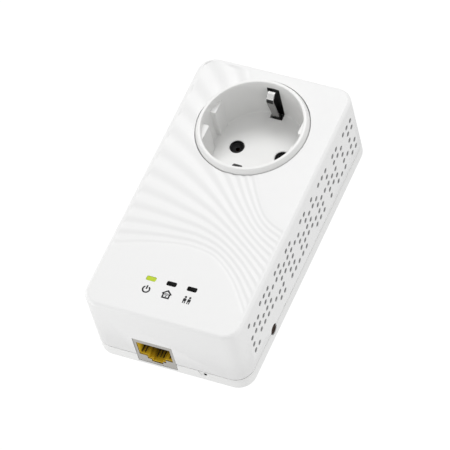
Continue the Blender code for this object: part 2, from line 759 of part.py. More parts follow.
def lights():
    """Three status lights: a small lamp on the board and a light guide up to the front."""
    half_x, half_z = LIGHT_SIZE[0] / 2, LIGHT_SIZE[1] / 2
    for number, x in enumerate(light_centres(), 1):
        lamp_x, lamp_z = (x - 1.6 * MM, x + 1.6 * MM), (Z_LIGHT - 0.8 * MM, Z_LIGHT + 0.8 * MM)
        on_main_board(f"led_{number}", lamp_x, lamp_z, 1.2 * MM, "clear_guide")
        y = (Y_FRONT, Y_ON_MAIN_BOARD - 1.2 * MM - GAP)
        guide = box((x - half_x, x + half_x), y, (Z_LIGHT - half_z, Z_LIGHT + half_z))
        finish = "lit_guide" if number == 1 else "dark_guide"
        add_object(f"light_pipe_{number}", guide, finish)


# Jack and switches


def jack():
    x = (JACK_X - JACK_WIDTH / 2, JACK_X + JACK_WIDTH / 2)
    y = (Y_JACK, Y_JACK + JACK_HEIGHT)
    mouth = Z_BOTTOM + JACK_RECESS
    z = (mouth, mouth + JACK_DEPTH)
    shield = add_object("rj45_shield", box(x, y, z), "nickel")
    skin = JACK_SKIN
    cut(shield, box((x[0] + skin, x[1] - skin), (y[0] + skin, y[1] - skin), (z[0] + skin, z[1] - skin)))
    step = skin + GAP
    body = add_object(
        "rj45_body",
        box((x[0] + step, x[1] - step), (y[0] + step, y[1] - step), (z[0] + step, z[1] - step)),
        "jack_plastic",
    )
    front = y[0] + JACK_CAVITY_FROM_SIDE
    # Half width and reach of the plug's cavity, of its latch and of the latch's tip
    steps = ((6.4 * MM, 7.6 * MM), (3.6 * MM, 9.4 * MM), (2.1 * MM, 10.8 * MM))
    for half, reach in steps:
        across = (JACK_X - half, JACK_X + half)
        cut(shield, box(across, (front, front + reach), (mouth - WALL, mouth + WALL)))
        cut(body, box(across, (front, front + reach), (mouth - WALL, mouth + JACK_CAVITY_DEPTH)))
    for number in range(8):
        contact_x = JACK_X + (number - 3.5) * CONTACT_PITCH
        path = [
            (front + 0.5 * MM, mouth + 2.0 * MM),
            (front + 0.9 * MM, mouth + 3.2 * MM),
            (front + 2.9 * MM, mouth + 11.5 * MM),
        ]
        wire = moved(bent_strip(path, 0.35 * MM, 0.25 * MM), x=contact_x)
        add_object(f"rj45_contact_{number + 1}", wire, "gold")


def pair_button():
    wall_inner = BODY_WIDTH / 2 - WALL
    profile = [
        (1.6 * MM, 25.9 * MM),
        (1.6 * MM, wall_inner - 1.5 * MM),
        (3.3 * MM, wall_inner - 1.5 * MM),
        (3.3 * MM, wall_inner - GAP),
        (BUTTON_RADIUS, wall_inner - GAP),
        (BUTTON_RADIUS, BODY_WIDTH / 2 - 0.3 * MM),
        (BUTTON_RADIUS - 0.4 * MM, BODY_WIDTH / 2),
    ]
    loops = [[(x, a, b) for a, b in circle(radius, 20, (Y_SPLIT, Z_BUTTON))] for radius, x in profile]
    place = (BODY_WIDTH / 2, Y_SPLIT, Z_BUTTON)
    add_object("pair_button", lofted(loops), "button_brown", place)
    block = on_power_board(
        "pair_switch_body",
        (20.5 * MM, 24 * MM),
        (Z_BUTTON - 3.4 * MM, Z_BUTTON + 3.4 * MM),
        6.8 * MM,
        "black_plastic",
    )
    cut(block, rod_along_x(Y_SPLIT, Z_BUTTON, 1.75 * MM + GAP, 21.3 * MM, 26 * MM, 14))
    plunger = rod_along_x(Y_SPLIT, Z_BUTTON, 1.75 * MM, 22.2 * MM, 25.6 * MM, 14)
    add_object("pair_switch_plunger", plunger, "jack_plastic", place)


def reset_switch():
    mouth = Z_BOTTOM + 4.6 * MM
    half_x, half_y = 1.0 * MM, 0.7 * MM
    block = on_power_board(
        "reset_switch_body",
        (RESET_X - 3 * MM, RESET_X + 3 * MM),
        (mouth, mouth + 3.5 * MM),
        3.6 * MM,
        "black_plastic",
    )
    pocket = box(
        (RESET_X - half_x - GAP, RESET_X + half_x + GAP),
        (Y_RESET - half_y - GAP, Y_RESET + half_y + GAP),
        (mouth - WALL, mouth + 2.4 * MM),
    )
    cut(block, pocket)
    plunger = box(
        (RESET_X - half_x, RESET_X + half_x),
        (Y_RESET - half_y, Y_RESET + half_y),
        (mouth - 1.4 * MM, mouth + 1.6 * MM),
    )
    add_object("reset_switch_plunger", plunger, "nickel", (RESET_X, Y_RESET, mouth))


def main():
    clear_scene()
    for make in (
        front_shell,
        rear_shell,
        rating_label,
        screws,
        socket_insert,
        earth_clips,
        earth_bridge,
        socket_contacts,
        mains_leads,
        plug_body,
        plug_pins,
        plug_earth_strips,
        boards,
        board_header,
        power_parts,
        logic_parts,
        lights,
        jack,
        pair_button,
        reset_switch,
    ):
        make()


main()
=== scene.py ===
"""Looks of the powerline adapter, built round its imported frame. Lengths are in metres unless said."""

import json
import math

import bmesh
import bpy
import numpy as np
from mathutils import Matrix, Vector


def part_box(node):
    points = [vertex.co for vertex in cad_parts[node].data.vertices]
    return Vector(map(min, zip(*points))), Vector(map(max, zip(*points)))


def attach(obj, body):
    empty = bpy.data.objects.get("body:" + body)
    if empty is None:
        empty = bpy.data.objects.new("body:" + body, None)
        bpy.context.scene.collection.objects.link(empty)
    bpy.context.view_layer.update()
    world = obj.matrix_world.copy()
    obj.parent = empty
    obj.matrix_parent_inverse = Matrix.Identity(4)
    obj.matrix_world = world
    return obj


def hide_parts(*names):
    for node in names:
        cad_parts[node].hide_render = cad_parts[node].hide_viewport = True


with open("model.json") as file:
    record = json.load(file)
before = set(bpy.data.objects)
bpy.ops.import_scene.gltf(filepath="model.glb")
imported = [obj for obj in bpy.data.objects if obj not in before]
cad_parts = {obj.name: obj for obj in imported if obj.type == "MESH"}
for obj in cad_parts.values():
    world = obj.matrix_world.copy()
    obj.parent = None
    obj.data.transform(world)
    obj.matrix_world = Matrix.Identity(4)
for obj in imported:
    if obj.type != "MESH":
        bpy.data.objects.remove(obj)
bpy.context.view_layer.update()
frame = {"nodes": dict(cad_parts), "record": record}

MM = 0.001
HOUSING = "housing"

# Places read from the frame
FRONT_LOW, FRONT_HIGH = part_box("front_shell")
_, REAR_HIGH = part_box("rear_shell")
INSERT_LOW, INSERT_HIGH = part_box("socket_insert")
_, PLUG_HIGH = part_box("plug_body")
Y_FRONT = FRONT_LOW.y
Y_BACK = REAR_HIGH.y
Y_RIM = INSERT_LOW.y
Z_BOTTOM, Z_TOP = FRONT_LOW.z, FRONT_HIGH.z
Z_MIDDLE = (Z_BOTTOM + Z_TOP) / 2
BODY_WIDTH = FRONT_HIGH.x - FRONT_LOW.x
BODY_HEIGHT = Z_TOP - Z_BOTTOM

# Casing sizes
GAP = 0.3 * MM
SEAM = 0.5 * MM
WALL = 2.0 * MM
LIP = 0.9 * MM
LIP_DEPTH = 2.0 * MM
CORNER_RADIUS = 7.0 * MM
FRONT_EDGE_RADIUS = 1.6 * MM
REAR_EDGE_RADIUS = 3.0 * MM
Y_SPLIT = Y_FRONT + 28.75 * MM
CORNER_STEPS = 14

# Vents
VENT_PITCH_Z = 3.525 * MM
VENT_PITCH_Y = 4.05 * MM
VENT_TOP_BELOW_TOP = 9.0 * MM
VENT_FIRST_FROM_FRONT = 7.2 * MM
VENT_SLANT = -0.018
VENT_RADIUS = 1.08 * MM
VENT_SIDES = 16
VENT_WALL = 0.3 * MM
VENT_ROWS = (
    "11011 11111 10010 01111 11001 11111 00110 11111 10100 10111 "
    "01111 11011 01110 11110 10111 01111 01001 11111 11111 01100 "
    "11111 11011 01010 11110 11110 10110 01110 01101 10111"
).split()

# Wave relief on the front: guide curves as (x, height above the bottom) points, in millimetres
WAVE_LOW = ((-32, 27.5), (-20, 31.4), (-10, 33.8), (0, 34.8), (10, 32.8), (20, 25.5), (32, 11.3))
WAVE_MID = ((-32, 63.5), (-20, 60), (-10, 56.3), (0, 52), (10, 46.3), (20, 39.8), (32, 31.5))
WAVE_HIGH = ((-32, 135), (-20, 122), (-10, 108), (0, 88), (10, 69.5), (20, 56), (32, 49.8))
WAVE_MID_INDEX = 5
WAVE_LAST_INDEX = 11
WAVE_STARTS = (-0.5, 0.1)
WAVE_ENDS = (11.2, 11.7)
WAVE_SLOPE = 0.21
WAVE_USUAL_LENGTH = 4.5
WAVE_NUDGE = 0.05
WAVE_SLOPE_POWER = 0.7
WAVE_EDGE_FADE = 0.9
WAVE_CELL = 0.45 * MM

# How much paler the edges of plastic are; metals take three times as much
EDGE_WEAR = 0.02
METAL_EDGE_WEAR = 3 * EDGE_WEAR

# Icons under the lights
ICON_LINE = 0.6 * MM
ICON_HEIGHT = 0.05 * MM
ICON_BELOW_LIGHT = 4.9 * MM
LENS_EXTRA = 0.17 * MM

# Socket
RIM_RADIUS = 22.1 * MM
RIM_TOP_RADIUS = 21.3 * MM
RIM_GAP = 0.4 * MM
MOUTH_RADIUS = 19.9 * MM
FLOOR_RADIUS = 19.45 * MM
WELL_DEPTH = 18.4 * MM
FLOOR_THICKNESS = 2.2 * MM
BARREL_RADIUS = 21.6 * MM
PIN_SPACING = 19.0 * MM
PIN_HOLE_RADIUS = 2.9 * MM
PAD_FLAT = 17.2 * MM
PAD_HALF_HEIGHT = 9.8 * MM
PAD_GROOVE_HALF = 3.0 * MM
PAD_BELOW_RIM = 3.6 * MM
EARTH_SLOT_HALF_WIDTH = 2.6 * MM
EARTH_SLOT_FROM = 16.3 * MM
EARTH_SLOT_TO = 21.0 * MM
EARTH_SLOT_BELOW_RIM = 3.2 * MM
CLIP_WIDTH = 2.8 * MM
CLIP_THICKNESS = 0.7 * MM
Y_FLOOR = Y_RIM + WELL_DEPTH
Y_FLOOR_BACK = Y_FLOOR + FLOOR_THICKNESS
SOCKET_SIDES = 128

# Plug and jack
PLUG_RADIUS = 18.4 * MM
PLUG_FLAT = 16.2 * MM
PLUG_CAVITY_RADIUS = 14.4 * MM
PLUG_FACE_THICKNESS = 3.0 * MM
PLUG_STRIP_HEIGHT = 16.8 * MM
PIN_RADIUS = 2.4 * MM
JACK_SKIN = 0.4 * MM
JACK_CAVITY_FROM_SIDE = 2.3 * MM
JACK_CAVITY_DEPTH = 14.5 * MM
JACK_PITCH = 1.27 * MM
JACK_STEPS = ((6.7 * MM, 7.6 * MM), (3.6 * MM, 9.4 * MM), (2.1 * MM, 10.8 * MM))
BUTTON_RADIUS = 2.1 * MM


# Mesh helpers


def add_object(name, shape, finish=None, smooth=35):
    bmesh.ops.recalc_face_normals(shape, faces=shape.faces)
    mesh = bpy.data.meshes.new(name)
    shape.to_mesh(mesh)
    shape.free()
    mesh.shade_smooth()
    mesh.set_sharp_from_angle(angle=math.radians(smooth))
    obj = bpy.data.objects.new(name, mesh)
    bpy.context.scene.collection.objects.link(obj)
    if finish:
        obj.data.materials.append(finish)
    return obj


def join(*shapes):
    whole = shapes[0]
    for shape in shapes[1:]:
        mesh = bpy.data.meshes.new("part_of_shape")
        shape.to_mesh(mesh)
        whole.from_mesh(mesh)
        shape.free()
        bpy.data.meshes.remove(mesh)
    return whole


def lofted(loops, closed_chain=False):
    shape = bmesh.new()
    rings = [[shape.verts.new(point) for point in loop] for loop in loops]
    pairs = list(zip(rings, rings[1:]))
    if closed_chain:
        pairs.append((rings[-1], rings[0]))
    for first, second in pairs:
        for i in range(len(first)):
            j = (i + 1) % len(first)
            shape.faces.new([first[i], first[j], second[j], second[i]])
    if not closed_chain:
        shape.faces.new(rings[0])
        shape.faces.new(rings[-1])
    bmesh.ops.recalc_face_normals(shape, faces=shape.faces)
    return shape


def box(x, y, z):
    outline = [(x[0], z[0]), (x[1], z[0]), (x[1], z[1]), (x[0], z[1])]
    return extruded(outline, y[0], y[1])


def extruded(outline, low, high, axis="Y"):
    if axis == "Y":
        return lofted([[(a, end, b) for a, b in outline] for end in (low, high)])
    if axis == "Z":
        return lofted([[(a, b, end) for a, b in outline] for end in (low, high)])
    return lofted([[(end, a, b) for a, b in outline] for end in (low, high)])


def circle(radius, sides, centre=(0, 0)):
    angles = [math.tau * i / sides for i in range(sides)]
    return [(centre[0] + radius * math.cos(a), centre[1] + radius * math.sin(a)) for a in angles]


def rod(centre, radius, low, high, axis="Y", sides=32):
    return extruded(circle(radius, sides, centre), low, high, axis)


def turned(profile, sides, x=0.0, z=0.0):
    return lofted([[(x + a, y, z + b) for a, b in circle(radius, sides)] for radius, y in profile])


def rounded_rectangle(half_width, half_height, radius, centre=(0, 0), steps=CORNER_STEPS):
    points = []
    for quarter in range(4):
        side_x = (1, -1, -1, 1)[quarter]
        side_z = (1, 1, -1, -1)[quarter]
        for i in range(steps + 1):
            angle = math.pi / 2 * (quarter + i / steps)
            x = side_x * (half_width - radius) + radius * math.cos(angle)
            z = side_z * (half_height - radius) + radius * math.sin(angle)
            points.append((centre[0] + x, centre[1] + z))
    return points


def body_loop(inset, y):
    outline = rounded_rectangle(
        BODY_WIDTH / 2 - inset,
        BODY_HEIGHT / 2 - inset,
        max(CORNER_RADIUS - inset, 1.5 * MM),
        (0, Z_MIDDLE),
    )
    return [(x, y, z) for x, z in outline]


def fillet_loops(radius, y_face, direction, steps):
    loops = []
    for i in range(steps + 1):
        angle = math.pi / 2 * i / steps
        inset = radius * (1 - math.sin(angle))
        loops.append(body_loop(inset, y_face + direction * radius * (1 - math.cos(angle))))
    return loops


def boolean(obj, shape, operation="DIFFERENCE"):
    """Applies an exact Boolean with a throwaway helper."""
    helper = add_object(obj.name + "_helper", shape)
    modifier = obj.modifiers.new("cut", "BOOLEAN")
    modifier.operation = operation
    modifier.object = helper
    modifier.solver = "EXACT"
    apply_modifiers(obj)
    bpy.data.objects.remove(helper, do_unlink=True)


def apply_modifiers(obj):
    graph = bpy.context.evaluated_depsgraph_get()
    mesh = bpy.data.meshes.new_from_object(obj.evaluated_get(graph))
    old = obj.data
    obj.modifiers.clear()
    obj.data = mesh
    bpy.data.meshes.remove(old)
    mesh.name = obj.name


def shade(obj, angle=35):
    obj.data.shade_smooth()
    obj.data.set_sharp_from_angle(angle=math.radians(angle))


def bevel(obj, width, segments=3, angle=40):
    modifier = obj.modifiers.new("edge", "BEVEL")
    modifier.width = width
    modifier.segments = segments
    modifier.limit_method = "ANGLE"
    modifier.angle_limit = math.radians(angle)
    modifier.harden_normals = True
    apply_modifiers(obj)


def stand_for(obj, slot, body, *nodes):
    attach(obj, body)
    if nodes:
        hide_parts(*nodes)
    return obj


# Materials


class Nodes:
    """A short way to build a material's nodes."""

    def __init__(self, name):
        self.material = bpy.data.materials.new(name)
        self.material.use_nodes = True
        self.tree = self.material.node_tree
        self.shader = self.tree.nodes["Principled BSDF"]

    def add(self, kind, **settings):
        node = self.tree.nodes.new(kind)
        for key, value in settings.items():
            if key in node.inputs:
                node.inputs[key].default_value = value
            else:
                setattr(node, key, value)
        return node

    def link(self, source, target):
        self.tree.links.new(source, target)

    def noise(self, scale, detail=2.0, roughness=0.5, stretch=(1, 1, 1)):
        place = self.add("ShaderNodeTexCoord")
        mapping = self.add("ShaderNodeMapping")
        mapping.inputs["Scale"].default_value = stretch
        self.link(place.outputs["Object"], mapping.inputs["Vector"])
        noise = self.add("ShaderNodeTexNoise", Scale=scale, Detail=detail, Roughness=roughness)
        self.link(mapping.outputs["Vector"], noise.inputs["Vector"])
        return noise.outputs["Fac"]

    def ramp(self, source, low, high):
        """Maps 0..1 to low..high, as a number or a colour."""
        if isinstance(low, (int, float)):
            mapped = self.add("ShaderNodeMapRange")
            mapped.inputs["To Min"].default_value = low
            mapped.inputs["To Max"].default_value = high
            self.link(source, mapped.inputs["Value"])
            return mapped.outputs["Result"]
        mixed = self.add("ShaderNodeMix", data_type="RGBA")
        mixed.inputs["A"].default_value = (*low, 1)
        mixed.inputs["B"].default_value = (*high, 1)
        self.link(source, mixed.inputs["Factor"])
        return mixed.outputs["Result"]

    def worn(self, tint, rubbed):
        """The tint, turning to the rubbed colour where the surface bends within half a millimetre."""
        rounded = self.add("ShaderNodeBevel", samples=4)
        rounded.inputs["Radius"].default_value = 0.5 * MM
        plain = self.add("ShaderNodeNewGeometry")
        facing = self.add("ShaderNodeVectorMath", operation="DOT_PRODUCT")
        self.link(rounded.outputs["Normal"], facing.inputs[0])
        self.link(plain.outputs["Normal"], facing.inputs[1])
        edge = self.add("ShaderNodeMapRange")
        edge.inputs["From Min"].default_value = 0.99
        edge.inputs["From Max"].default_value = 0.8
        self.link(facing.outputs["Value"], edge.inputs["Value"])
        mixed = self.add("ShaderNodeMix", data_type="RGBA")
        mixed.inputs["B"].default_value = (*rubbed, 1)
        self.link(edge.outputs["Result"], mixed.inputs["Factor"])
        self.link(tint, mixed.inputs["A"])
        return mixed.outputs["Result"]

    def bump(self, source, strength, distance):
        bump = self.add("ShaderNodeBump", Strength=strength, Distance=distance)
        self.link(source, bump.inputs["Height"])
        self.link(bump.outputs["Normal"], self.shader.inputs["Normal"])


def shifted(color, amount):
    return tuple(min(1.0, max(0.0, c + amount)) for c in color)


def plastic(name, color, roughness, grain=9000, grain_depth=0.004 * MM, mottle=0.006, gloss=0.5):
    nodes = Nodes(name)
    cloud = nodes.noise(60, 3)
    tint = nodes.ramp(cloud, shifted(color, -mottle), shifted(color, mottle))
    nodes.link(nodes.worn(tint, shifted(color, EDGE_WEAR)), nodes.shader.inputs["Base Color"])
    fine = nodes.noise(grain, 2)
    polish = nodes.ramp(nodes.noise(400, 4), roughness - 0.05, roughness + 0.05)
    nodes.link(polish, nodes.shader.inputs["Roughness"])
    nodes.bump(fine, 0.6, grain_depth)
    nodes.shader.inputs["IOR"].default_value = 1.5
    nodes.shader.inputs["Specular IOR Level"].default_value = gloss
    return nodes.material


def metal(name, color, roughness, stretch=(1, 1, 1), grain=3000):
    nodes = Nodes(name)
    nodes.shader.inputs["Metallic"].default_value = 1.0
    brushed = nodes.noise(grain, 3, stretch=stretch)
    nodes.link(nodes.ramp(brushed, roughness - 0.08, roughness + 0.12), nodes.shader.inputs["Roughness"])
    cloud = nodes.noise(250, 4)
    tint = nodes.ramp(cloud, shifted(color, -0.06), shifted(color, 0.03))
    nodes.link(nodes.worn(tint, shifted(color, METAL_EDGE_WEAR)), nodes.shader.inputs["Base Color"])
    nodes.bump(brushed, 0.35, 0.004 * MM)
    return nodes.material


def glowing(name, color, strength):
    nodes = Nodes(name)
    cloud = nodes.noise(500, 2)
    tint = nodes.ramp(cloud, shifted(color, -0.05), shifted(color, 0.05))
    nodes.link(tint, nodes.shader.inputs["Base Color"])
    nodes.link(tint, nodes.shader.inputs["Emission Color"])
    nodes.shader.inputs["Emission Strength"].default_value = strength
    nodes.link(nodes.ramp(nodes.noise(300, 2), 0.45, 0.6), nodes.shader.inputs["Roughness"])
    nodes.shader.inputs["Specular IOR Level"].default_value = 0.2
    nodes.bump(nodes.noise(4000, 1), 0.3, 0.004 * MM)
    return nodes.material


def board_finish(name, color):
    """Green solder mask over faint copper tracks."""
    nodes = Nodes(name)
    tracks = nodes.noise(900, 1, stretch=(1, 1, 0.15))
    tint = nodes.ramp(tracks, color, shifted(color, 0.07))
    nodes.link(tint, nodes.shader.inputs["Base Color"])
    nodes.link(nodes.ramp(nodes.noise(300), 0.35, 0.5), nodes.shader.inputs["Roughness"])
    nodes.bump(tracks, 0.5, 0.02 * MM)
    return nodes.material


def jack_finish(name, mouth, deep):
    """Yellow plastic with painted shade: it darkens towards the closed end of the jack, where the cavity lies
    in shadow.
    """
    nodes = Nodes(name)
    place = nodes.add("ShaderNodeTexCoord")
    parts = nodes.add("ShaderNodeSeparateXYZ")
    nodes.link(place.outputs["Object"], parts.inputs["Vector"])
    # Painted shade: the colour goes from the mouth colour to the dark colour between 1.2 and 7 mm into the
    # jack.
    depth = nodes.add("ShaderNodeMapRange")
    depth.inputs["From Min"].default_value = Z_BOTTOM + 1.2 * MM
    depth.inputs["From Max"].default_value = Z_BOTTOM + 7.0 * MM
    nodes.link(parts.outputs["Z"], depth.inputs["Value"])
    nodes.link(nodes.ramp(depth.outputs["Result"], mouth, deep), nodes.shader.inputs["Base Color"])
    nodes.link(nodes.ramp(nodes.noise(400, 4), 0.35, 0.5), nodes.shader.inputs["Roughness"])
    nodes.bump(nodes.noise(9000, 2), 0.6, 0.004 * MM)
    return nodes.material


WHITE = (0.86, 0.86, 0.858)

FINISHES = {
    "front_casing": plastic("front_casing", WHITE, 0.42),
    "rear_casing": plastic("rear_casing", (0.84, 0.84, 0.835), 0.5),
    "socket_plastic": plastic("socket_plastic", (0.86, 0.86, 0.85), 0.35),
    "plug_plastic": plastic("plug_plastic", (0.83, 0.83, 0.82), 0.5),
    "spring_steel": metal("spring_steel", (0.36, 0.355, 0.35), 0.22, (1, 0.1, 1)),
    # The next two finishes are dark and pale copies of the clip steel: painted shade and painted highlight
    # for the earth clips.
    "painted_shade_steel": metal("painted_shade_steel", (0.065, 0.065, 0.065), 0.35, (1, 0.1, 1)),
    "painted_highlight_steel": metal("painted_highlight_steel", (0.95, 0.95, 0.94), 0.25, (1, 0.1, 1)),
    "nickel_plate": metal("nickel_plate", (0.72, 0.7, 0.66), 0.22, (1, 0.2, 1)),
    "screw_steel": metal("screw_steel", (0.45, 0.45, 0.46), 0.4),
    "copper": metal("copper", (0.72, 0.4, 0.26), 0.35),
    "gold_wire": metal("gold_wire", (0.86, 0.66, 0.28), 0.25),
    "circuit_board": board_finish("circuit_board", (0.02, 0.16, 0.07)),
    "black_plastic": plastic("black_plastic", (0.014, 0.014, 0.015), 0.5, gloss=0.2),
    "fuse_body": plastic("fuse_body", (0.05, 0.05, 0.05), 0.4),
    # The jack's dark second colour is painted shade for the deep end of its cavity.
    "jack_plastic": jack_finish("jack_plastic", (0.78, 0.52, 0.02), (0.05, 0.022, 0.003)),
    "switch_plunger": plastic("switch_plunger", (0.6, 0.6, 0.57), 0.5),
    "film_capacitor": plastic("film_capacitor", (0.7, 0.55, 0.08), 0.45),
    "varistor_coating": plastic("varistor_coating", (0.03, 0.1, 0.42), 0.35, 1500, 0.02 * MM),
    "ferrite": plastic("ferrite", (0.07, 0.07, 0.075), 0.7, 3000, 0.02 * MM),
    "winding_tape": plastic("winding_tape", (0.7, 0.5, 0.06), 0.4),
    "capacitor_sleeve": plastic("capacitor_sleeve", (0.03, 0.035, 0.07), 0.3),
    "aluminium": metal("aluminium", (0.75, 0.76, 0.78), 0.4, (1, 1, 0.05)),
    "lamp_resin": plastic("lamp_resin", (0.75, 0.78, 0.6), 0.3),
    "lit_light_guide": glowing("lit_light_guide", (0.46, 0.58, 0.015), 0.15),
    "dark_light_guide": plastic("dark_light_guide", (0.002, 0.002, 0.002), 0.4, gloss=0.04),
    "button_brown": plastic("button_brown", (0.03, 0.016, 0.01), 0.6, gloss=0.15),
    "label_film": plastic("label_film", (0.62, 0.63, 0.64), 0.45),
    # Dark grey for the sheets behind the vents: painted shade.
    "vent_shade_sheet": plastic("vent_shade_sheet", (0.2, 0.2, 0.203), 0.7, 2500, 0.02 * MM, gloss=0.1),
    "icon_ink": plastic("icon_ink", (0.035, 0.035, 0.037), 0.7, gloss=0.1),
}


def finish_of(node):
    for row in frame["record"]["subparts"]:
        if row["node"] == node:
            return row["material_slot"]
    return None


def paint_frame():
    """Gives every CAD node that stays its procedural finish."""
    for name, obj in frame["nodes"].items():
        obj.data.materials.clear()
        obj.data.materials.append(FINISHES[finish_of(name)])
        shade(obj, 30)


# Casing


def guide(points, x):
    """A smooth curve through (x, height) points in millimetres, by Catmull-Rom, for an array of x."""
    xs = np.array([p[0] for p in points], float)
    zs = np.array([p[1] for p in points], float)
    slopes = np.gradient(zs, xs)
    i = np.clip(np.searchsorted(xs, x) - 1, 0, len(xs) - 2)
    step = xs[i + 1] - xs[i]
    t = np.clip((x - xs[i]) / step, 0, 1)
    t2, t3 = t * t, t * t * t
    return (
        (2 * t3 - 3 * t2 + 1) * zs[i]
        + (t3 - 2 * t2 + t) * step * slopes[i]
        + (3 * t2 - 2 * t3) * zs[i + 1]
        + (t3 - t2) * step * slopes[i + 1]
    )


def wave_index(x, z):
    """Which wave a point on the front lies on, as a real number counted upwards; x and z in millimetres."""
    low, mid, high = (guide(points, x) for points in (WAVE_LOW, WAVE_MID, WAVE_HIGH))
    m, n = WAVE_MID_INDEX, WAVE_LAST_INDEX
    bend = ((high - low) / n - (mid - low) / m) / (n - m)
    rise = (mid - low) / m - bend * m
    inside = np.maximum(rise * rise + 4 * bend * (z - low), 0)
    return np.where(
        np.abs(bend) < 1e-6,
        (z - low) / rise,
        (np.sqrt(inside) - rise) / (2 * np.where(np.abs(bend) < 1e-6, 1, bend)),
    )


def smooth_step(value, low, high):
    t = np.clip((value - low) / (high - low), 0, 1)
    return t * t * (3 - 2 * t)


def wave_height(x, z):
    """How far the waves press in. They fade out at the rounded edge."""
    x, z = x / MM, (z - Z_BOTTOM) / MM
    index = wave_index(x, z)
    along_x = wave_index(x + WAVE_NUDGE, z) - wave_index(x - WAVE_NUDGE, z)
    along_z = wave_index(x, z + WAVE_NUDGE) - wave_index(x, z - WAVE_NUDGE)
    length = 2 * WAVE_NUDGE / np.clip(np.hypot(along_x, along_z), 0.006, 1)
    slope = WAVE_SLOPE * (WAVE_USUAL_LENGTH / length) ** WAVE_SLOPE_POWER
    edge_x = (BODY_WIDTH / 2 - FRONT_EDGE_RADIUS) / MM - np.abs(x)
    edge_z = (BODY_HEIGHT / 2 - FRONT_EDGE_RADIUS) / MM - np.abs(z - BODY_HEIGHT / 2 / MM)
    strength = smooth_step(index, *WAVE_STARTS) * (1 - smooth_step(index, *WAVE_ENDS))
    strength = strength * smooth_step(np.minimum(edge_x, edge_z), 0, WAVE_EDGE_FADE)
    return slope * length / math.tau * strength * (np.sin(math.tau * index) - 1) * MM


def add_waves(obj):
    """Cuts the flat front into fine cells and presses the waves into it."""
    shape = bmesh.new()
    shape.from_mesh(obj.data)
    half = BODY_WIDTH / 2
    columns = int(2 * half / WAVE_CELL)
    rows = int(BODY_HEIGHT / WAVE_CELL)
    planes = [((-half + BODY_WIDTH * i / columns, 0, 0), (1, 0, 0)) for i in range(1, columns)]
    planes += [((0, 0, Z_BOTTOM + BODY_HEIGHT * i / rows), (0, 0, 1)) for i in range(1, rows)]
    for point, normal in planes:
        facing = [f for f in shape.faces if f.normal.y < -0.999]
        faces = [f for f in facing if f.calc_center_median().y < Y_FRONT + 0.01 * MM]
        geometry = set(faces)
        for face in faces:
            geometry.update(face.edges)
            geometry.update(face.verts)
        bmesh.ops.bisect_plane(shape, geom=list(geometry), dist=1e-7, plane_co=point, plane_no=normal)
    flat = [v for v in shape.verts if abs(v.co.y - Y_FRONT) < 1e-6]
    heights = wave_height(np.array([v.co.x for v in flat]), np.array([v.co.z for v in flat]))
    for vertex, height in zip(flat, heights):
        vertex.co.y -= height
    shape.to_mesh(obj.data)
    shape.free()


def jack_box(margin):
    low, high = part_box("rj45_shield")
    return box(
        (low.x - margin, high.x + margin),
        (low.y - margin, high.y + margin),
        (Z_BOTTOM - WALL, Z_BOTTOM + 2 * WALL),
    )


def button_place():
    low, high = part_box("pair_button")
    return Y_SPLIT, (low.z + high.z) / 2


def button_bore():
    half = BODY_WIDTH / 2
    return rod(button_place(), BUTTON_RADIUS + 0.25 * MM, half - 2 * WALL, half + WALL, "X", 48)


def vent_rods(side):
    """Round rods through one side wall, one for each vent hole."""
    x = sorted((side * (BODY_WIDTH / 2 - 2 * WALL), side * (BODY_WIDTH / 2 + WALL)))
    rods = []
    for row, pattern in enumerate(VENT_ROWS):
        drop = row * VENT_PITCH_Z
        for column, mark in enumerate(pattern):
            if mark == "1":
                y = Y_FRONT + VENT_FIRST_FROM_FRONT + column * VENT_PITCH_Y + VENT_SLANT * drop
                place = (y, Z_TOP - VENT_TOP_BELOW_TOP - drop)
                rods.append(rod(place, VENT_RADIUS, x[0], x[1], "X", VENT_SIDES))
    return join(*rods)


def pry_notch():
    """A small nick on the right side's parting line."""
    half = BODY_WIDTH / 2
    z = Z_BOTTOM + 36.5 * MM
    y = (Y_SPLIT - 0.9 * MM, Y_SPLIT + WALL)
    return box((half - 0.7 * MM, half + WALL), y, (z - 0.8 * MM, z + 0.8 * MM))


def vent_area():
    """(y, z) ranges of the vented part of a side wall, inside the shell."""
    first = Y_FRONT + VENT_FIRST_FROM_FRONT
    y = (first - 2.6 * MM, first + 4 * VENT_PITCH_Y + 1.4 * MM)
    z = (Z_TOP - VENT_TOP_BELOW_TOP - 28 * VENT_PITCH_Z - 2.0 * MM, Z_TOP - VENT_TOP_BELOW_TOP + 2.0 * MM)
    return y, z


def vent_pocket(side):
    """Thins the side wall behind the vents."""
    y, z = vent_area()
    x = sorted((side * (BODY_WIDTH / 2 - 2 * WALL), side * (BODY_WIDTH / 2 - VENT_WALL)))
    return box(x, y, z)


def vent_shade_sheets():
    """A dark sheet close behind each row of vents, as painted shade inside the vent holes."""
    y, z = vent_area()
    for name, side in (("dust_screen_left", -1), ("dust_screen_right", 1)):
        outer = side * (BODY_WIDTH / 2 - VENT_WALL)
        x = sorted((outer, outer - side * 0.4 * MM))
        screen = add_object(name, box(x, y, z), FINISHES["vent_shade_sheet"])
        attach(screen, HOUSING)


def light_holes():
    holes = []
    for number in range(1, 4):
        low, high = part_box(f"light_pipe_{number}")
        centre = ((low.x + high.x) / 2, (low.z + high.z) / 2)
        half_x, half_z = (high.x - low.x) / 2 + 0.22 * MM, (high.z - low.z) / 2 + 0.22 * MM
        outline = rounded_rectangle(half_x, half_z, 0.6 * MM, centre, 6)
        holes.append(extruded(outline, Y_FRONT - WALL, Y_FRONT + 2 * WALL))
    return join(*holes)


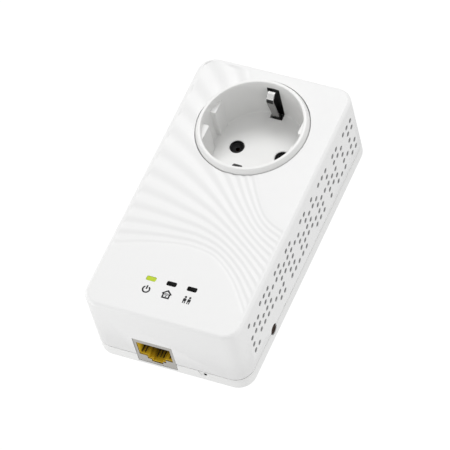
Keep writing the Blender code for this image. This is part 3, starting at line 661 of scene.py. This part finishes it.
def front_casing():
    edge = Y_SPLIT - SEAM / 2
    loops = fillet_loops(FRONT_EDGE_RADIUS, Y_FRONT, 1, 8)
    loops += [
        body_loop(0, edge - 0.3 * MM),
        body_loop(0.25 * MM, edge),
        body_loop(LIP, edge),
        body_loop(LIP, edge - LIP_DEPTH),
        body_loop(WALL, edge - LIP_DEPTH),
        body_loop(WALL, Y_FRONT + WALL),
    ]
    casing = add_object("front_casing", lofted(loops), FINISHES["front_casing"])
    mouth = (Y_FRONT - WALL, Y_FRONT + 2 * WALL)
    boolean(casing, rod((0, 0), RIM_RADIUS + RIM_GAP, *mouth, "Y", SOCKET_SIDES))
    boolean(casing, light_holes())
    boolean(casing, jack_box(GAP))
    boolean(casing, button_bore())
    boolean(casing, pry_notch())
    boolean(casing, join(vent_pocket(1), vent_pocket(-1)))
    boolean(casing, join(vent_rods(1), vent_rods(-1)))
    add_waves(casing)
    shade(casing, 40)
    stand_for(casing, "front_casing", HOUSING, "front_shell")


def rear_casing():
    edge = Y_SPLIT + SEAM / 2
    lip_outer = LIP + GAP
    loops = fillet_loops(REAR_EDGE_RADIUS, Y_BACK, -1, 10)
    loops += [
        body_loop(0, edge + 0.3 * MM),
        body_loop(0.25 * MM, edge),
        body_loop(lip_outer, edge),
        body_loop(lip_outer, Y_SPLIT - LIP_DEPTH + GAP),
        body_loop(WALL, Y_SPLIT - LIP_DEPTH + GAP),
        body_loop(WALL, Y_BACK - WALL),
    ]
    casing = add_object("rear_casing", lofted(loops), FINISHES["rear_casing"])
    inner = Y_BACK - WALL
    boolean(casing, rod((0, 0), PLUG_RADIUS + 0.25 * MM, inner - WALL, Y_BACK + WALL, "Y", SOCKET_SIDES))
    boolean(casing, jack_box(GAP))
    boolean(casing, button_bore())
    places = screw_places()
    bosses = [rod(p, 4 * MM, inner - 4 * MM, inner + WALL / 2, "Y", 32) for p in places]
    boolean(casing, join(*bosses), "UNION")
    boolean(casing, join(*[rod(p, 1.8 * MM, inner - 6 * MM, Y_BACK + WALL) for p in places]))
    boolean(casing, join(*[rod(p, 3.1 * MM, Y_BACK - 2.6 * MM, Y_BACK + WALL, "Y", 48) for p in places]))
    low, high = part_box("reset_switch_plunger")
    pinhole = ((low.x + high.x) / 2, (low.y + high.y) / 2)
    dimple = [(r, z) for r, z in ((1.7 * MM, -0.2 * MM), (1.4 * MM, 0.05 * MM), (0.6 * MM, 0.45 * MM))]
    loops = [[(x, y, Z_BOTTOM + z) for x, y in circle(r, 32, pinhole)] for r, z in dimple]
    loops.append([(x, y, Z_BOTTOM + 2 * WALL) for x, y in circle(0.6 * MM, 32, pinhole)])
    boolean(casing, lofted(loops))
    groove = [(11.3, 28.5), (11.7, 28.4), (13.1, 31.0), (12.7, 31.2)]
    groove = [(x * MM, Y_FRONT + depth * MM) for x, depth in groove]
    boolean(casing, extruded(groove, Z_BOTTOM - WALL, Z_BOTTOM + 0.8 * MM, "Z"))
    low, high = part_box("rating_label")
    half_x, half_z = (high.x - low.x) / 2 + GAP, (high.z - low.z) / 2 + GAP
    recess = rounded_rectangle(half_x, half_z, 2 * MM, (0, (low.z + high.z) / 2), 6)
    boolean(casing, extruded(recess, Y_BACK - 0.6 * MM, Y_BACK + WALL))
    shade(casing, 40)
    stand_for(casing, "rear_casing", HOUSING, "rear_shell")
    # Painted shade: a black sleeve in the reset pinhole makes it read as a dark hole.
    profile = ((0.62, 0.35), (0.62, 1.3), (0.45, 1.3), (0.45, 0.4))
    loops = [[(x, y, Z_BOTTOM + z * MM) for x, y in circle(r * MM, 32, pinhole)] for r, z in profile]
    sleeve = add_object("pinhole_shade_sleeve", lofted(loops, closed_chain=True), FINISHES["black_plastic"])
    stand_for(sleeve, "black_plastic", HOUSING)


def screw_places():
    places = []
    for number in range(1, 5):
        low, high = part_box(f"screw_{number}")
        places.append(((low.x + high.x) / 2, (low.z + high.z) / 2))
    return places


# Socket well


def socket_pads():
    outer = (MOUTH_RADIUS + BARREL_RADIUS) / 2
    round_edge = 0.5 * MM
    pads = []
    for side in (-1, 1):
        for half in (-1, 1):
            angles = [math.asin(h / outer) for h in (PAD_HALF_HEIGHT, PAD_GROOVE_HALF)]
            steps = [angles[0] + (angles[1] - angles[0]) * i / 6 for i in range(7)]
            arc = [(outer * math.cos(a), outer * math.sin(a)) for a in steps]
            corner = [
                (PAD_FLAT + round_edge * (1 - math.cos(a)), PAD_GROOVE_HALF + round_edge * (1 - math.sin(a)))
                for a in (math.pi / 2, math.pi / 4, 0)
            ]
            outline = corner + [(PAD_FLAT, PAD_HALF_HEIGHT)] + arc
            outline = [(side * x, half * z) for x, z in outline]
            top = Y_RIM + PAD_BELOW_RIM
            pads.append(extruded(outline, top, Y_FLOOR + FLOOR_THICKNESS / 2))
    return join(*pads)


def socket_well():
    quarter = [math.pi / 2 * i / 6 for i in range(7)]
    foot, inner_bend, outer_bend = 0.5 * MM, 0.35 * MM, 0.45 * MM
    cove = [(FLOOR_RADIUS - foot * (1 - math.sin(a)), Y_FLOOR - foot * (1 - math.cos(a))) for a in quarter]
    inner = [
        (MOUTH_RADIUS + inner_bend * (1 - math.cos(a)), Y_RIM + inner_bend * (1 - math.sin(a)))
        for a in quarter
    ]
    outer = [
        (RIM_TOP_RADIUS - outer_bend * (1 - math.sin(a)), Y_RIM + outer_bend * (1 - math.cos(a)))
        for a in quarter
    ]
    flange = Y_FRONT + WALL + GAP
    profile = cove + inner + outer + [
        (RIM_RADIUS - 0.1 * MM, Y_FRONT - 0.25 * MM),
        (RIM_RADIUS, Y_FRONT),
        (RIM_RADIUS, flange),
        (INSERT_HIGH.x, flange),
        (INSERT_HIGH.x, flange + 1.5 * MM),
        (BARREL_RADIUS, flange + 1.5 * MM),
        (BARREL_RADIUS, Y_FLOOR_BACK),
    ]
    well = add_object("socket_well", turned(profile, SOCKET_SIDES), FINISHES["socket_plastic"])
    boolean(well, socket_pads(), "UNION")
    slots = []
    y = (Y_RIM + EARTH_SLOT_BELOW_RIM, Y_FLOOR_BACK + WALL)
    for side in (-1, 1):
        z = sorted((side * EARTH_SLOT_FROM, side * EARTH_SLOT_TO))
        slots.append(box((-EARTH_SLOT_HALF_WIDTH, EARTH_SLOT_HALF_WIDTH), y, z))
    boolean(well, join(*slots))
    holes = [
        turned(
            [
                (PIN_HOLE_RADIUS + 0.5 * MM, Y_FLOOR - 0.2 * MM),
                (PIN_HOLE_RADIUS, Y_FLOOR + 0.3 * MM),
                (PIN_HOLE_RADIUS, Y_FLOOR_BACK + WALL),
            ],
            48,
            side * PIN_SPACING / 2,
        )
        for side in (-1, 1)
    ]
    boolean(well, join(*holes))
    shade(well, 35)
    stand_for(well, "socket_plastic", HOUSING, "socket_insert")


def slot_shade_liners():
    """Black channels that line the earth slots, open towards the well and through the floor; their black is
    painted shade for the dark slot openings.
    """
    half, skin = EARTH_SLOT_HALF_WIDTH, 0.25 * MM
    y = (Y_RIM + EARTH_SLOT_BELOW_RIM, Y_FLOOR_BACK)
    for name, side in (("earth_slot_shade_liner_upper", 1), ("earth_slot_shade_liner_lower", -1)):
        z = sorted((side * (MOUTH_RADIUS - 0.15 * MM), side * EARTH_SLOT_TO))
        liner = add_object(name, box((-half, half), y, z), FINISHES["black_plastic"])
        inside = sorted((side * EARTH_SLOT_FROM, side * (EARTH_SLOT_TO - skin)))
        boolean(liner, box((skin - half, half - skin), (y[0] + skin, y[1] + WALL), inside))
        stand_for(liner, "black_plastic", HOUSING)


def pin_hole_shade_sleeves():
    """Black sleeves in the floor's two holes, with the contact's mouth at the bottom of each; their black is
    painted shade for the dark holes.
    """
    for name, side in (("pin_hole_shade_sleeve_left", -1), ("pin_hole_shade_sleeve_right", 1)):
        inner = PIN_HOLE_RADIUS - 0.3 * MM
        profile = [
            (PIN_HOLE_RADIUS - 0.02 * MM, Y_FLOOR + 0.12 * MM),
            (PIN_HOLE_RADIUS - 0.02 * MM, Y_FLOOR_BACK + 0.2 * MM),
            (0.9 * MM, Y_FLOOR_BACK + 0.2 * MM),
            (0.9 * MM, Y_FLOOR_BACK - 0.3 * MM),
            (inner - 0.5 * MM, Y_FLOOR_BACK - 0.6 * MM),
            (inner, Y_FLOOR_BACK - 1.1 * MM),
            (inner, Y_FLOOR + 0.12 * MM),
        ]
        loops = [
            [(side * PIN_SPACING / 2 + a, y, b) for a, b in circle(radius, 40)] for radius, y in profile
        ]
        sleeve = add_object(name, lofted(loops, closed_chain=True), FINISHES["black_plastic"])
        stand_for(sleeve, "black_plastic", HOUSING)


def strip(points, thickness, half_width, bend=0.5 * MM, steps=4):
    """A flat strip of even thickness along (y, z) points, with rounded bends."""
    path = [Vector(points[0])]
    for before, corner, after in zip(points, points[1:], points[2:]):
        corner = Vector(corner)
        back = (Vector(before) - corner).normalized()
        ahead = (Vector(after) - corner).normalized()
        start, end = corner + back * bend, corner + ahead * bend
        for i in range(steps + 1):
            t = i / steps
            path.append(start.lerp(corner, t).lerp(corner.lerp(end, t), t))
    path.append(Vector(points[-1]))
    left, right = [], []
    for i, point in enumerate(path):
        along = (path[min(i + 1, len(path) - 1)] - path[max(i - 1, 0)]).normalized()
        normal = Vector((-along.y, along.x)) * thickness / 2
        left.append(point + normal)
        right.append(point - normal)
    outline = [tuple(p) for p in left + right[::-1]]
    return extruded(outline, -half_width, half_width, "X")


def earth_clips():
    """Bent spring strips that lean into the well, each on its own body. Their faces carry painted light: a
    pale painted highlight on the top bend, a dark painted shade band at the knee, and painted shade over the
    whole lower clip.
    """
    foot_y = Y_FLOOR_BACK + 1.0 * MM
    for name, node, side in (
        ("upper_clip_strip", "earth_clip_upper", 1),
        ("lower_clip_strip", "earth_clip_lower", -1),
    ):
        path = [
            (foot_y, side * 13.6 * MM),
            (foot_y, side * 17.8 * MM),
            (Y_RIM + 6.7 * MM, side * 15.6 * MM),
            (Y_RIM + 5.3 * MM, side * 16.0 * MM),
            (Y_RIM + 4.1 * MM, side * 17.6 * MM),
            (Y_RIM + 4.0 * MM, side * 18.7 * MM),
        ]
        shape = strip(path, CLIP_THICKNESS, CLIP_WIDTH / 2)
        clip = add_object(name, shape, FINISHES["spring_steel"])
        bevel(clip, 0.1 * MM, 2, 60)
        clip.data.materials.append(FINISHES["painted_highlight_steel"])
        clip.data.materials.append(FINISHES["painted_shade_steel"])
        # Painted light by face: the top bend takes the pale painted-highlight steel; the knee and the whole
        # lower clip take the dark painted-shade steel.
        for face in clip.data.polygons:
            depth = face.center.y - Y_RIM
            if side < 0 or 5.2 * MM < depth < 6.9 * MM:
                face.material_index = 2
            elif depth <= 5.2 * MM:
                face.material_index = 1
        stand_for(clip, "spring_steel", node.replace("earth_clip_", "") + "_earth_clip", node)


# Light guides


def light_guides():
    for number in range(1, 4):
        low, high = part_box(f"light_pipe_{number}")
        centre = ((low.x + high.x) / 2, (low.z + high.z) / 2)
        half_x, half_z = (high.x - low.x) / 2 + LENS_EXTRA, (high.z - low.z) / 2 + LENS_EXTRA
        steps = [(0, high.y)]
        steps += [(inset * MM, low.y + depth * MM) for inset, depth in ((0, 0.25), (0.08, 0.12), (0.3, 0.05))]
        loops = []
        for inset, y in steps:
            corner = max(0.55 * MM - inset, 0.1 * MM)
            outline = rounded_rectangle(half_x - inset, half_z - inset, corner, centre, 6)
            loops.append([(x, y, z) for x, z in outline])
        slot = "lit_light_guide" if number == 1 else "dark_light_guide"
        lens = add_object(f"light_lens_{number}", lofted(loops), FINISHES[slot])
        stand_for(lens, slot, HOUSING, f"light_pipe_{number}")


# Icons


def ribbon(points, width, closed=False):
    """A flat band of even width along (x, z) points."""
    count = len(points)
    left, right = [], []
    for i, point in enumerate(points):
        before = points[(i - 1) % count] if closed or i else points[0]
        after = points[(i + 1) % count] if closed or i < count - 1 else points[-1]
        first = Vector((point[0] - before[0], point[1] - before[1]))
        second = Vector((after[0] - point[0], after[1] - point[1]))
        first = first.normalized() if first.length else second.normalized()
        second = second.normalized() if second.length else first
        normal = Vector((-(first.y + second.y), first.x + second.x)).normalized()
        reach = width / 2 / max(normal.dot(Vector((-first.y, first.x))), 0.4)
        left.append((point[0] + normal.x * reach, point[1] + normal.y * reach))
        right.append((point[0] - normal.x * reach, point[1] - normal.y * reach))
    shape = bmesh.new()
    rings = []
    for y in (0, -ICON_HEIGHT):
        rings.append([[shape.verts.new((x, y, z)) for x, z in side] for side in (left, right)])
    (base_left, base_right), (top_left, top_right) = rings
    for i in range(count if closed else count - 1):
        j = (i + 1) % count
        shape.faces.new([top_left[i], top_left[j], top_right[j], top_right[i]])
        shape.faces.new([base_left[i], base_right[i], base_right[j], base_left[j]])
        shape.faces.new([top_left[i], base_left[i], base_left[j], top_left[j]])
        shape.faces.new([top_right[i], top_right[j], base_right[j], base_right[i]])
    if not closed:
        for i in (0, -1):
            shape.faces.new([base_left[i], top_left[i], top_right[i], base_right[i]])
    return shape


def disc(outline):
    return extruded(outline, 0, -ICON_HEIGHT)


def arc(radius, start, end, steps=20, centre=(0, 0)):
    angles = [math.radians(start + (end - start) * i / steps) for i in range(steps + 1)]
    return [(centre[0] + radius * math.cos(a), centre[1] + radius * math.sin(a)) for a in angles]


def power_icon():
    ring = ribbon(arc(1.35 * MM, 125, 415, 28), ICON_LINE)
    bar = ribbon([(0, 0.1 * MM), (0, 1.75 * MM)], ICON_LINE)
    return join(ring, bar)


def home_icon():
    roof = ribbon([(-1.85 * MM, 0.15 * MM), (0, 1.7 * MM), (1.85 * MM, 0.15 * MM)], ICON_LINE)
    walls = ribbon(
        [(-1.25 * MM, 0.3 * MM), (-1.25 * MM, -1.5 * MM), (1.25 * MM, -1.5 * MM), (1.25 * MM, 0.3 * MM)],
        ICON_LINE,
    )
    waves = [ribbon(arc(r * MM, 45, 135, 8, (0, -0.95 * MM)), 0.3 * MM) for r in (0.75, 1.3)]
    dot = disc(circle(0.27 * MM, 12, (0, -0.85 * MM)))
    return join(roof, walls, dot, *waves)


def link_icon():
    """Two small figures side by side."""
    shapes = []
    for side in (-1, 1):
        x = side * 0.88 * MM
        shapes.append(disc(circle(0.46 * MM, 16, (x, 1.15 * MM))))
        shapes.append(disc(rounded_rectangle(0.62 * MM, 0.62 * MM, 0.25 * MM, (x, -0.1 * MM), 4)))
        for leg in (-1, 1):
            hip = (x + leg * 0.36 * MM, -1.15 * MM)
            shapes.append(disc(rounded_rectangle(0.2 * MM, 0.5 * MM, 0.1 * MM, hip, 3)))
    return join(*shapes)


def icons():
    """Generic symbols under the lights, as thin raised shapes."""
    for number, shape in enumerate((power_icon(), home_icon(), link_icon()), 1):
        low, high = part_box(f"light_pipe_{number}")
        middle = ((low.x + high.x) / 2, Y_FRONT + ICON_HEIGHT / 3, (low.z + high.z) / 2 - ICON_BELOW_LIGHT)
        bmesh.ops.translate(shape, verts=shape.verts, vec=middle)
        icon = add_object(f"icon_{number}", shape, FINISHES["icon_ink"])
        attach(icon, HOUSING)


# Jack


def jack_combs(middle, front, mouth):
    """The teeth between the contact wires, and behind them a black plate that is painted shade for the jack's
    deep end.
    """
    combs = []
    for number in range(9):
        tooth = middle + (number - 4) * JACK_PITCH
        across = (tooth - 0.2 * MM, tooth + 0.2 * MM)
        combs.append(box(across, (front - 0.01 * MM, front + 1.1 * MM), (mouth + 1.4 * MM, mouth + 12 * MM)))
    comb = add_object("jack_comb", join(*combs), FINISHES["jack_plastic"])
    stand_for(comb, "jack_plastic", HOUSING)
    # Painted shade: a black plate behind the teeth darkens the deep end of the jack.
    half, depth = 5.3 * MM, (mouth + 1.6 * MM, mouth + 13 * MM)
    back = box((middle - half, middle + half), (front, front + 0.25 * MM), depth)
    shade_backing = add_object("jack_painted_shade_backing", back, FINISHES["black_plastic"])
    stand_for(shade_backing, "black_plastic", HOUSING)


def jack_ribs(middle, front, mouth):
    """Ribs on the stepped wall that faces the contacts; their dark brown colour is painted shade for the deep
    cavity.
    """
    deepest = JACK_STEPS[2][1]
    shapes = []
    for half, reach in JACK_STEPS:
        rear = front + reach
        stepped = reach < deepest
        for number in range(-5, 6):
            place = number * JACK_PITCH
            outside = abs(place) > half - 0.3 * MM
            over_notch = stepped and abs(place) < JACK_STEPS[1][0] + 0.3 * MM
            if outside or over_notch:
                continue
            across = (middle + place - 0.13 * MM, middle + place + 0.13 * MM)
            y = (rear - 0.35 * MM, rear + 0.05 * MM)
            start = 1.1 * MM if stepped else 2.4 * MM
            shapes.append(box(across, y, (mouth + start, mouth + 12.5 * MM)))
    # The ribs' dark brown is painted shade.
    rib = add_object("jack_ribs", join(*shapes), FINISHES["button_brown"])
    stand_for(rib, "black_plastic", HOUSING)


def jack():
    low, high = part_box("rj45_shield")
    x, y, z = (low.x, high.x), (low.y, high.y), (low.z, high.z)
    middle = (x[0] + x[1]) / 2
    skin = JACK_SKIN
    front = y[0] + JACK_CAVITY_FROM_SIDE
    centre = (middle, (y[0] + y[1]) / 2)
    outline = rounded_rectangle((x[1] - x[0]) / 2, (y[1] - y[0]) / 2, 0.35 * MM, centre, 4)
    shield = add_object("jack_shield", extruded(outline, z[0], z[1], "Z"), FINISHES["nickel_plate"])
    boolean(shield, box((x[0] + skin, x[1] - skin), (y[0] + skin, y[1] - skin), (z[0] + skin, z[1] - skin)))
    step = skin + 0.1 * MM
    body = add_object(
        "jack_body",
        box((x[0] + step, x[1] - step), (y[0] + step, y[1] - step), (z[0] + step, z[1] - step)),
        FINISHES["jack_plastic"],
    )
    for half, reach in JACK_STEPS:
        rim = 0.25 * MM
        mouth = (z[0] - WALL, z[0] + WALL / 4)
        across = (middle - half, middle + half)
        wide = (middle - half - rim, middle + half + rim)
        boolean(shield, box(wide, (front - rim, front + reach + rim), mouth))
        boolean(body, box(across, (front, front + reach), (z[0] - WALL, z[0] + JACK_CAVITY_DEPTH)))
    jack_combs(middle, front, z[0])
    jack_ribs(middle, front, z[0])
    bevel(shield, 0.08 * MM, 2, 50)
    bevel(body, 0.12 * MM, 2, 50)
    stand_for(shield, "nickel_plate", HOUSING, "rj45_shield")
    stand_for(body, "jack_plastic", HOUSING, "rj45_body")
    for number in range(1, 9):
        wire_x = middle + (number - 4.5) * JACK_PITCH
        points = ((0.3, 1.2), (0.6, 2.0), (4.4, 11.5), (3.6, 13.6))
        path = [(front + back * MM, z[0] + deep * MM) for back, deep in points]
        shape = strip(path, 0.35 * MM, 0.22 * MM)
        bmesh.ops.translate(shape, verts=shape.verts, vec=(wire_x, 0, 0))
        wire = add_object(f"jack_wire_{number}", shape, FINISHES["gold_wire"])
        stand_for(wire, "gold_wire", HOUSING, f"rj45_contact_{number}")


def pairing_button():
    low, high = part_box("pair_button")
    centre = button_place()
    face = high.x
    half = BUTTON_RADIUS
    profile = [
        (1.6 * MM, low.x),
        (1.6 * MM, face - 3.65 * MM),
        (3.3 * MM, face - 3.65 * MM),
        (3.3 * MM, face - 2.35 * MM),
        (half, face - 2.35 * MM),
        (half, face - 0.5 * MM),
        (half - 0.15 * MM, face - 0.2 * MM),
        (half - 0.5 * MM, face - 0.05 * MM),
        (half - 1.0 * MM, face - 0.12 * MM),
        (half - 1.5 * MM, face - 0.3 * MM),
        (0.15 * MM, face - 0.4 * MM),
    ]
    loops = [[(x, a, b) for a, b in circle(radius, 48, centre)] for radius, x in profile]
    button = add_object("button_cap", lofted(loops), FINISHES["button_brown"])
    stand_for(button, "button_brown", "pair_button", "pair_button")


# Plug and back


def plug():
    inner = Y_BACK - WALL - GAP
    edge = [math.pi / 2 * i / 6 for i in range(7)]
    bend = 1.2 * MM
    rim = [(PLUG_RADIUS - bend * (1 - math.sin(a)), -bend * (1 - math.cos(a))) for a in edge]
    profile = rim + [
        (PLUG_RADIUS, inner),
        (PLUG_HIGH.x, inner),
        (PLUG_HIGH.x, inner - 1.5 * MM),
        (PLUG_CAVITY_RADIUS, inner - 1.5 * MM),
        (PLUG_CAVITY_RADIUS, -PLUG_FACE_THICKNESS),
    ]
    body = add_object("plug_moulding", turned(profile, 96), FINISHES["plug_plastic"])
    for side in (-1, 1):
        x = sorted((side * PLUG_FLAT, side * 2 * PLUG_RADIUS))
        boolean(body, box(x, (Y_BACK, WALL), (-10 * MM, 10 * MM)))
        x = sorted((side * (PLUG_FLAT - 1.2 * MM), side * 2 * PLUG_RADIUS))
        boolean(body, box(x, (Y_BACK + 3 * MM, WALL), (-2.6 * MM, 2.6 * MM)))
        z = sorted((side * (PLUG_STRIP_HEIGHT - 0.9 * MM), side * 2 * PLUG_RADIUS))
        boolean(body, box((-2.3 * MM, 2.3 * MM), (inner - 2 * WALL, -0.9 * MM), z))
        hole = rod((side * PIN_SPACING / 2, 0), PIN_RADIUS + 0.1 * MM, -2 * PLUG_FACE_THICKNESS, WALL)
        boolean(body, hole)
    bevel(body, 0.3 * MM, 3, 50)
    stand_for(body, "plug_plastic", HOUSING, "plug_body")
    for name, node, side in (("plug_pin_1", "plug_pin_left", -1), ("plug_pin_2", "plug_pin_right", 1)):
        low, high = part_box(node)
        tip = 1.6 * MM
        profile = [
            (1.9 * MM, low.y),
            (PIN_RADIUS, low.y + 0.4 * MM),
            (PIN_RADIUS, high.y - 2.4 * MM),
            (PIN_RADIUS - 0.15 * MM, high.y - tip),
            (PIN_RADIUS - 0.6 * MM, high.y - 0.7 * MM),
            (PIN_RADIUS - 1.3 * MM, high.y - 0.15 * MM),
            (0.3 * MM, high.y),
        ]
        pin = add_object(name, turned(profile, 48, side * PIN_SPACING / 2), FINISHES["nickel_plate"])
        stand_for(pin, "nickel_plate", HOUSING, node)
    for name, node, side in (
        ("plug_contact_upper", "plug_earth_strip_upper", 1),
        ("plug_contact_lower", "plug_earth_strip_lower", -1),
    ):
        low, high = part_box(node)
        middle = (low.z + high.z) / 2
        path = [
            (low.y, middle),
            (-12 * MM, middle),
            (-6.5 * MM, middle + side * 0.7 * MM),
            (high.y + 0.2 * MM, middle - side * 0.2 * MM),
        ]
        contact = add_object(name, strip(path, 0.7 * MM, 1.9 * MM, 2 * MM), FINISHES["nickel_plate"])
        bevel(contact, 0.12 * MM, 2, 60)
        stand_for(contact, "nickel_plate", HOUSING, node)


def screws():
    for number, (x, z) in enumerate(screw_places(), 1):
        low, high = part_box(f"screw_{number}")
        head = high.y
        thread = []
        y = low.y + 1.5 * MM
        while y < head - 3.2 * MM:
            thread += [(1.15 * MM, y), (1.5 * MM, y + 0.35 * MM), (1.15 * MM, y + 0.7 * MM)]
            y += 1.0 * MM
        profile = [(0.4 * MM, low.y)] + thread + [
            (1.15 * MM, head - 1.9 * MM),
            (2.6 * MM, head - 1.9 * MM),
            (2.7 * MM, head - 1.7 * MM),
            (2.7 * MM, head - 1.0 * MM),
            (2.45 * MM, head - 0.5 * MM),
            (1.9 * MM, head - 0.15 * MM),
            (1.1 * MM, head),
        ]
        screw = add_object(f"case_screw_{number}", turned(profile, 36, x, z), FINISHES["screw_steel"])
        cross = []
        y_cut = (head - 1.1 * MM, head + WALL)
        for half_x, half_z in ((0.33 * MM, 1.55 * MM), (1.55 * MM, 0.33 * MM)):
            cross.append(box((x - half_x, x + half_x), y_cut, (z - half_z, z + half_z)))
        for shape in cross:
            boolean(screw, shape)
        stand_for(screw, "screw_steel", HOUSING, f"screw_{number}")


def rating_plate():
    """A blank label, with no lettering."""
    low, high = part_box("rating_label")
    centre_z = (low.z + high.z) / 2
    outline = rounded_rectangle((high.x - low.x) / 2, (high.z - low.z) / 2, 1.7 * MM, (0, centre_z), 8)
    label = add_object("blank_label", extruded(outline, low.y, high.y), FINISHES["label_film"])
    bevel(label, 0.05 * MM, 2, 50)
    stand_for(label, "label_film", HOUSING, "rating_label")


# Stage

FLOOR_HALF_SIZE = 12.0
FLOOR_HEIGHT = -1.6
SOFT_LIGHT = 0.74
BACKGROUND_WHITE = 1.05
BODY_MIDDLE = (0, -0.04, -0.03)
# Name, place, target, disk size and watts of each light
LAMPS = (
    ("key", (-0.2, -1.2, 0.75), BODY_MIDDLE, 0.6, 7),
    ("right_fill", (0.7, 0.05, -0.3), BODY_MIDDLE, 0.35, 1.2),
    ("left_fill", (-2.0, 0.05, 0.0), BODY_MIDDLE, 1.0, 2.5),
    ("low_fill", (-0.28, -0.06, -0.38), (0, -0.04, -0.09), 0.2, 0.6),
)
CAMERA_PLACE = (0.50875, -1.19743, -0.71478)
CAMERA_RIGHT = (0.90535, 0.16807, 0.38999)
CAMERA_BACK = (0.35348, -0.80720, -0.47273)
CAMERA_LENS = 303.3


def floor():
    shape = bmesh.new()
    size = FLOOR_HALF_SIZE
    corners = [(-size, -size), (size, -size), (size, size), (-size, size)]
    shape.faces.new([shape.verts.new((x, y, FLOOR_HEIGHT)) for x, y in corners])
    plane = add_object("floor", shape)
    nodes = Nodes("floor")
    cloud = nodes.noise(0.6, 2)
    nodes.link(nodes.ramp(cloud, (0.78, 0.78, 0.78), (0.82, 0.82, 0.82)), nodes.shader.inputs["Base Color"])
    nodes.shader.inputs["Roughness"].default_value = 0.7
    plane.data.materials.append(nodes.material)


def area_light(name, place, target, size, power):
    light = bpy.data.lights.new(name, "AREA")
    light.shape = "DISK"
    light.size = size
    light.energy = power
    obj = bpy.data.objects.new(name, light)
    obj.location = place
    obj.rotation_euler = (Vector(target) - Vector(place)).to_track_quat("-Z", "Y").to_euler()
    obj.visible_camera = False
    bpy.context.scene.collection.objects.link(obj)


def lights():
    world = bpy.data.worlds.new("studio")
    world.use_nodes = True
    tree = world.node_tree
    soft = tree.nodes["Background"]
    soft.inputs["Color"].default_value = (1, 1, 1, 1)
    soft.inputs["Strength"].default_value = SOFT_LIGHT
    white = tree.nodes.new("ShaderNodeBackground")
    white.inputs["Color"].default_value = (1, 1, 1, 1)
    white.inputs["Strength"].default_value = BACKGROUND_WHITE
    path = tree.nodes.new("ShaderNodeLightPath")
    mix = tree.nodes.new("ShaderNodeMixShader")
    tree.links.new(path.outputs["Is Camera Ray"], mix.inputs["Fac"])
    tree.links.new(soft.outputs["Background"], mix.inputs[1])
    tree.links.new(white.outputs["Background"], mix.inputs[2])
    tree.links.new(mix.outputs["Shader"], tree.nodes["World Output"].inputs["Surface"])
    bpy.context.scene.world = world
    for name, place, target, size, power in LAMPS:
        area_light(name, place, target, size, power)


def camera():
    """A long lens from below and to the right of the front, rolled as the product shot is."""
    lens = bpy.data.cameras.new("camera")
    lens.sensor_width = 36
    lens.lens = CAMERA_LENS
    lens.clip_start = 0.01
    lens.clip_end = 50
    obj = bpy.data.objects.new("camera", lens)
    right = Vector(CAMERA_RIGHT).normalized()
    back = Vector(CAMERA_BACK).normalized()
    up = back.cross(right).normalized()
    right = up.cross(back)
    turn = Matrix((right, up, back)).transposed().to_4x4()
    obj.matrix_world = Matrix.Translation(CAMERA_PLACE) @ turn
    bpy.context.scene.collection.objects.link(obj)
    bpy.context.scene.camera = obj


def main():
    bpy.context.scene.view_settings.view_transform = "Standard"
    paint_frame()
    front_casing()
    rear_casing()
    vent_shade_sheets()
    socket_well()
    slot_shade_liners()
    pin_hole_shade_sleeves()
    earth_clips()
    light_guides()
    icons()
    jack()
    pairing_button()
    plug()
    screws()
    rating_plate()
    floor()
    lights()
    camera()


main()
